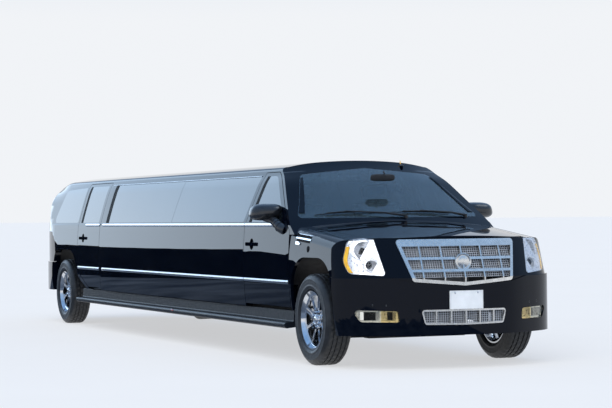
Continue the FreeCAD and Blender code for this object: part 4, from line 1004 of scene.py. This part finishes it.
def wheels():
    for end in ("front", "rear"):
        for side, sign in SIDES:
            name = end + "_" + side
            low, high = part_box("tyre_" + name)
            centre = (low + high) / 2
            tyre(name, centre, sign, "wheel_" + name)
            wheel_fittings(name, centre, sign, "wheel_" + name)


# Marker lamps on the running boards

MARKER_PLACE = (-3634, 335)
MARKER_SIZE = (0.034, 0.009)
MARKER_RINGS = ((-0.003, 0), (0.003, 0), (0.006, 0.003))


def marker_lamps():
    boards = surface("running_boards")
    x, z = MARKER_PLACE
    form = Form()
    for side, sign in SIDES:
        centre = at(x, side_y(boards, x, z, sign), z)
        form.loft([rounded_ring(centre + LEFT * sign * out, AHEAD, UP, MARKER_SIZE, inset=inset)
                   for out, inset in MARKER_RINGS])
    piece("marker_lamps", form, "tail_lamp_lens")


# Seats: padded covers on plain plinths

PRESSURE = 4
CLOTH_FRAMES = 20
SWELL_LIMIT = 0.022
SEAM_SPREAD, SEAM_REACH, SEAM_DEPTH = 0.012, 3, 0.011
PLINTH_FOOT, PLINTH_TOP, PLINTH_ROUNDING = 645, 868, 0.012

# Cushion, back and head rest: rear and front end from the chair's place, low and high edge, and lean
CHAIR_BLOCKS = ((-250, 244, 878, 952, 14), (-378, -236, 944, 1405, 112), (-494, -400, 1440, 1560, 16))
CUSHION_INSET, BACK_INSET, REST_HALF_WIDTH = 14, 22, 130

FRONT_SEAT_X, FRONT_SEAT_PLACES, FRONT_SEAT_HALF_WIDTH = -1250, (400, -400), 260
FRONT_PLINTH, FRONT_PLINTH_HALF_WIDTH = (-1560, -1015, PLINTH_FOOT, PLINTH_TOP, 0), 215
FRONT_SEAMS, REST_RODS, ROD_HALF_WIDTH = (-130, 130), (-60, 60), 7
REST_ROD = (-1752, -1736, 1396, 1450, 6)
REAR_SEAT_AHEAD, REAR_SEAT_PLACES, REAR_SEAT_HALF_WIDTH = 560, (-222, 222), 218
REAR_PLINTH_ENDS, REAR_PLINTH = (-310, 230), (PLINTH_FOOT, PLINTH_TOP, 0, 0, 410)
REAR_SEAMS = (-320, -120, 120, 320)
BENCH_AHEAD, BENCH_END, BENCH_PLACES, BENCH_GAP = 1500, -2300, 7, 14
BENCH_SEAMS = (-150, 0, 150)
# Low and high edge, lean, middle line and half width of the bench's cushions, backs and plinth
BENCH_CUSHION, BENCH_BACK = (876, 956, 0, 640, 126), (962, 1186, 0, 820, 36)
BENCH_PLINTH, BENCH_PLINTH_INSET = (PLINTH_FOOT, 866, 0, 695, 165), 10


def raked(rear, front, low, high, lean, middle, half):
    """The two ends of a block about a middle line, which leans back from its foot to its top."""
    right, left = middle - half, middle + half
    corners = ((rear, right), (front, right), (front, left), (rear, left))
    return [[at(x + shift, y, z) for x, y in corners] for z, shift in ((low, 0), (high, -lean))]


def stacked(blocks):
    """Separate blocks, each given by its two ends, as one form."""
    form = Form()
    for ends in blocks:
        form.loft(ends)
    return form


def settle(made):
    """Turns a piece's modifiers into its mesh."""
    graph = bpy.context.evaluated_depsgraph_get()
    made.data = bpy.data.meshes.new_from_object(made.evaluated_get(graph))
    made.modifiers.clear()


def blow_up(made):
    """Swells a piece as cloth under pressure, each of its points by no more than the limit."""
    before = [vertex.co.copy() for vertex in made.data.vertices]
    cloth = made.modifiers.new("cloth", "CLOTH")
    cloth.settings.use_pressure = True
    cloth.settings.uniform_pressure_force = PRESSURE
    cloth.settings.effector_weights.gravity = 0
    for frame_number in range(1, CLOTH_FRAMES + 1):
        bpy.context.scene.frame_set(frame_number)
    settle(made)
    bpy.context.scene.frame_set(1)
    for vertex, start in zip(made.data.vertices, before):
        moved = vertex.co - start
        if moved.length > SWELL_LIMIT:
            vertex.co = start + moved.normalized() * SWELL_LIMIT


def sew(made, seams):
    """Draws a piece in along seams, each an axis and a place on it in metres."""
    normals = [vertex.normal.copy() for vertex in made.data.vertices]
    for vertex, normal in zip(made.data.vertices, normals):
        for axis, place in seams:
            away = (vertex.co[axis] - place) / SEAM_SPREAD
            if abs(away) < SEAM_REACH:
                vertex.co -= normal * SEAM_DEPTH * exp(-away * away)


def sewn_pads(name, node, blocks, seams, voxel):
    """Padded covers in place of a plain seat solid, blown up as cloth and then drawn in along seams."""
    made = piece(name, stacked(blocks), "seat_leather")
    remesh = made.modifiers.new("remesh", "REMESH")
    remesh.mode = "VOXEL"
    remesh.voxel_size = voxel
    settle(made)
    blow_up(made)
    sew(made, seams)
    made.data.shade_smooth()
    smooth = made.modifiers.new("smooth", "SUBSURF")
    smooth.levels = smooth.render_levels = 1
    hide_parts(node)


def plinth(name, blocks):
    piece(name, stacked(blocks), "interior_plastic", rounding=PLINTH_ROUNDING)


def chair(x, y, half_width):
    """Cushion, back and head rest of a seat in the space of its solid."""
    half_widths = (half_width - CUSHION_INSET, half_width - BACK_INSET, REST_HALF_WIDTH)
    return [raked(x + rear, x + front, low, high, lean, y, half)
            for (rear, front, low, high, lean), half in zip(CHAIR_BLOCKS, half_widths)]


def front_seats():
    pads, seams, bases, rods = [], [], [], []
    for y in FRONT_SEAT_PLACES:
        pads += chair(FRONT_SEAT_X, y, FRONT_SEAT_HALF_WIDTH)
        seams += [(1, (y + seam) / 1000) for seam in FRONT_SEAMS]
        bases.append(raked(*FRONT_PLINTH, y, FRONT_PLINTH_HALF_WIDTH))
        rods += [raked(*REST_ROD, y + rod, ROD_HALF_WIDTH) for rod in REST_RODS]
    sewn_pads("front_seat_pads", "front_seats", pads, seams, voxel=0.013)
    plinth("front_seat_plinths", bases + rods)


def rear_seat():
    x = REAR_AXLE_MM + REAR_SEAT_AHEAD
    pads = []
    for y in REAR_SEAT_PLACES:
        pads += chair(x, y, REAR_SEAT_HALF_WIDTH)
    sewn_pads("rear_seat_pads", "rear_seat", pads, [(1, y / 1000) for y in REAR_SEAMS], voxel=0.014)
    plinth("rear_seat_plinth", [raked(x + REAR_PLINTH_ENDS[0], x + REAR_PLINTH_ENDS[1], *REAR_PLINTH)])


def lounge_bench():
    """A long bench of like places along the left side."""
    start = REAR_AXLE_MM + BENCH_AHEAD
    length = (BENCH_END - start) / BENCH_PLACES
    pads, seams = [], []
    for place in range(BENCH_PLACES):
        low, high = start + place * length + BENCH_GAP, start + (place + 1) * length - BENCH_GAP
        pads += [raked(low, high, *BENCH_CUSHION), raked(low, high, *BENCH_BACK)]
        seams += [(0, at((low + high) / 2 + shift, 0, 0).x) for shift in BENCH_SEAMS]
    sewn_pads("lounge_bench_pads", "lounge_bench", pads, seams, voxel=0.018)
    base = raked(start + BENCH_PLINTH_INSET, BENCH_END - BENCH_PLINTH_INSET, *BENCH_PLINTH)
    plinth("lounge_bench_plinth", [base])


# Floor, backdrop, light and camera

FLOOR_REACH = 900
FLOOR_GLOW = 0.62
SKY_STOPS = ((0.0, (0.88, 0.90, 0.93)), (0.10, (0.88, 0.90, 0.93)), (0.26, (0.42, 0.58, 0.82)),
             (1.0, (0.22, 0.42, 0.76)))


def stage():
    """A wide pale floor that runs out to the horizon."""
    floor = bpy.data.meshes.new("floor")
    floor.from_pydata([(-FLOOR_REACH, -FLOOR_REACH, 0), (FLOOR_REACH, -FLOOR_REACH, 0),
                       (FLOOR_REACH, FLOOR_REACH, 0), (-FLOOR_REACH, FLOOR_REACH, 0)], [], [(0, 1, 2, 3)])
    pale = Shader("floor", Roughness=0.95, Specular_IOR_Level=0.0)
    pale.vary("Base Color", 0.5, 4, (0.3, (0.80, 0.79, 0.77)), (0.7, (0.83, 0.82, 0.80)))
    path = pale.node("ShaderNodeLightPath")
    seen = path.outputs["Is Camera Ray"]
    for kind in ("Is Glossy Ray", "Is Transmission Ray"):
        added = pale.node("ShaderNodeMath", operation="ADD", use_clamp=True)
        pale.link(seen, added.inputs[0])
        pale.link(path.outputs[kind], added.inputs[1])
        seen = added.outputs["Value"]
    share = pale.node("ShaderNodeMath", operation="MULTIPLY")
    share.inputs[1].default_value = FLOOR_GLOW
    pale.link(seen, share.inputs[0])
    glow = pale.node("ShaderNodeEmission", Color=(0.92, 0.93, 0.95, 1), Strength=1.0)
    mix = pale.node("ShaderNodeMixShader")
    pale.link(share.outputs["Value"], mix.inputs["Fac"])
    pale.link(pale.shader.outputs["BSDF"], mix.inputs[1])
    pale.link(glow.outputs["Emission"], mix.inputs[2])
    pale.link(mix.outputs["Shader"], pale.tree.nodes["Material Output"].inputs["Surface"])
    floor.materials.append(pale.material)
    placed("floor", floor)


def sky():
    """A pale sky: near white at the horizon, light blue above."""
    world = bpy.data.worlds.new("sky")
    bpy.context.scene.world = world
    world.use_nodes = True
    tree = world.node_tree
    place = tree.nodes.new("ShaderNodeTexCoord")
    split = tree.nodes.new("ShaderNodeSeparateXYZ")
    ramp = tree.nodes.new("ShaderNodeValToRGB")
    fill_ramp(ramp.color_ramp, SKY_STOPS)
    tree.links.new(place.outputs["Generated"], split.inputs["Vector"])
    tree.links.new(split.outputs["Z"], ramp.inputs["Fac"])
    tree.links.new(ramp.outputs["Color"], tree.nodes["Background"].inputs["Color"])
    tree.nodes["Background"].inputs["Strength"].default_value = 1.0


def lamp(name, location, target, size, power, colour):
    """A large soft light panel that shows in glossy surfaces only, never to the camera itself."""
    data = bpy.data.lights.new(name, "AREA")
    data.shape = "RECTANGLE"
    data.size, data.size_y = size
    data.energy = power
    data.color = colour
    made = placed(name, data)
    made.location = location
    made.rotation_euler = (target - location).to_track_quat("-Z", "Y").to_euler()
    made.visible_camera = made.visible_diffuse = False


def daylight():
    """Soft daylight from above, the front and the right, which glossy surfaces don't mirror."""
    data = bpy.data.lights.new("daylight", "SUN")
    data.energy = 2.2
    data.angle = radians(55)
    data.color = (1.0, 0.95, 0.88)
    made = placed("daylight", data)
    made.rotation_euler = Vector((-0.75, 0.55, -0.9)).to_track_quat("-Z", "Y").to_euler()
    made.visible_glossy = False


def dark_card():
    """A low dark wall and grey cards on the floor, out of view, that the lower body reflects."""
    near, far = at(-5000, -5300, 4), at(-20000, -2800, 4)
    wall = [near, far, far + UP, near + UP]
    beside = [at(3500, -1120, 4), at(3500, -9000, 4), at(-5000, -9000, 4), at(-9500, -1120, 4)]
    ahead = [at(1060, -9000, 5), at(9000, -9000, 5), at(9000, 3000, 5), at(1060, 3000, 5)]
    card = bpy.data.meshes.new("dark_card")
    card.from_pydata(wall + beside + ahead, [], [(0, 1, 2, 3), (4, 5, 6, 0, 7), (7, 0, 1), (8, 9, 10, 11)])
    dull = Shader("dark_card", Roughness=1.0, Specular_IOR_Level=0.0)
    dull.vary("Base Color", 1.5, 3, (0.3, (0.010, 0.011, 0.013)), (0.7, (0.03, 0.032, 0.036)))
    grey = Shader("grey_card", Roughness=1.0, Specular_IOR_Level=0.0)
    grey.vary("Base Color", 0.8, 4, (0.35, (0.10, 0.12, 0.15)), (0.65, (0.30, 0.33, 0.37)))
    card.materials.append(dull.material)
    card.materials.append(grey.material)
    for face in card.polygons[1:]:
        face.material_index = 1
    made = placed("dark_card", card)
    made.visible_camera = made.visible_diffuse = made.visible_shadow = False


def camera():
    """The photograph's view: place, direction and roll solved from points on the vehicle."""
    place = at(15875, -7462, 1270)
    yaw, pitch, roll = radians(157.89), radians(0.38), radians(-0.58)
    focal_pixels = 2001
    image_width = 612
    forward = Vector((cos(pitch) * cos(yaw), cos(pitch) * sin(yaw), sin(pitch)))
    level = Vector((sin(yaw), -cos(yaw), 0))
    upright = level.cross(forward)
    right = level * cos(roll) + upright * sin(roll)
    up = upright * cos(roll) - level * sin(roll)
    data = bpy.data.cameras.new("camera")
    data.sensor_width = 36
    data.lens = data.sensor_width * focal_pixels / image_width
    data.clip_end = 2000
    made = placed("camera", data)
    made.matrix_world = Matrix.Translation(place) @ Matrix((right, up, -forward)).transposed().to_4x4()
    bpy.context.scene.camera = made


# The whole scene

finish_nodes()
shaped_panels()
for side_name, side_sign in SIDES:
    side_strips(side_name, side_sign)
    window_trim(side_name, side_sign)
    fender_vent(side_name, side_sign)
    headlamp(side_name, side_sign)
    door_mirror(side_name, side_sign)
emblem()
for wire_name, wire_area in WIRE_AREAS.items():
    grille_wire(wire_name, *wire_area)
plate_dress()
bumper_sensors()
screen_sides()
wipers()
inner_mirror()
aerial()
wheels()
marker_lamps()
front_seats()
rear_seat()
lounge_bench()
stage()
sky()
dark_card()
daylight()
lamp("sky_panel", at(-23000, -7500, 8050), at(-13500, -4500, 8050), size=(17, 14), power=1520,
     colour=(0.6, 0.79, 1.0))
lamp("screen_panel", at(300, 6000, 8500), at(-500, 300, 1500), size=(5, 4), power=120,
     colour=(0.9, 0.97, 1.0))
camera()
bpy.context.scene.view_settings.view_transform = "Standard"
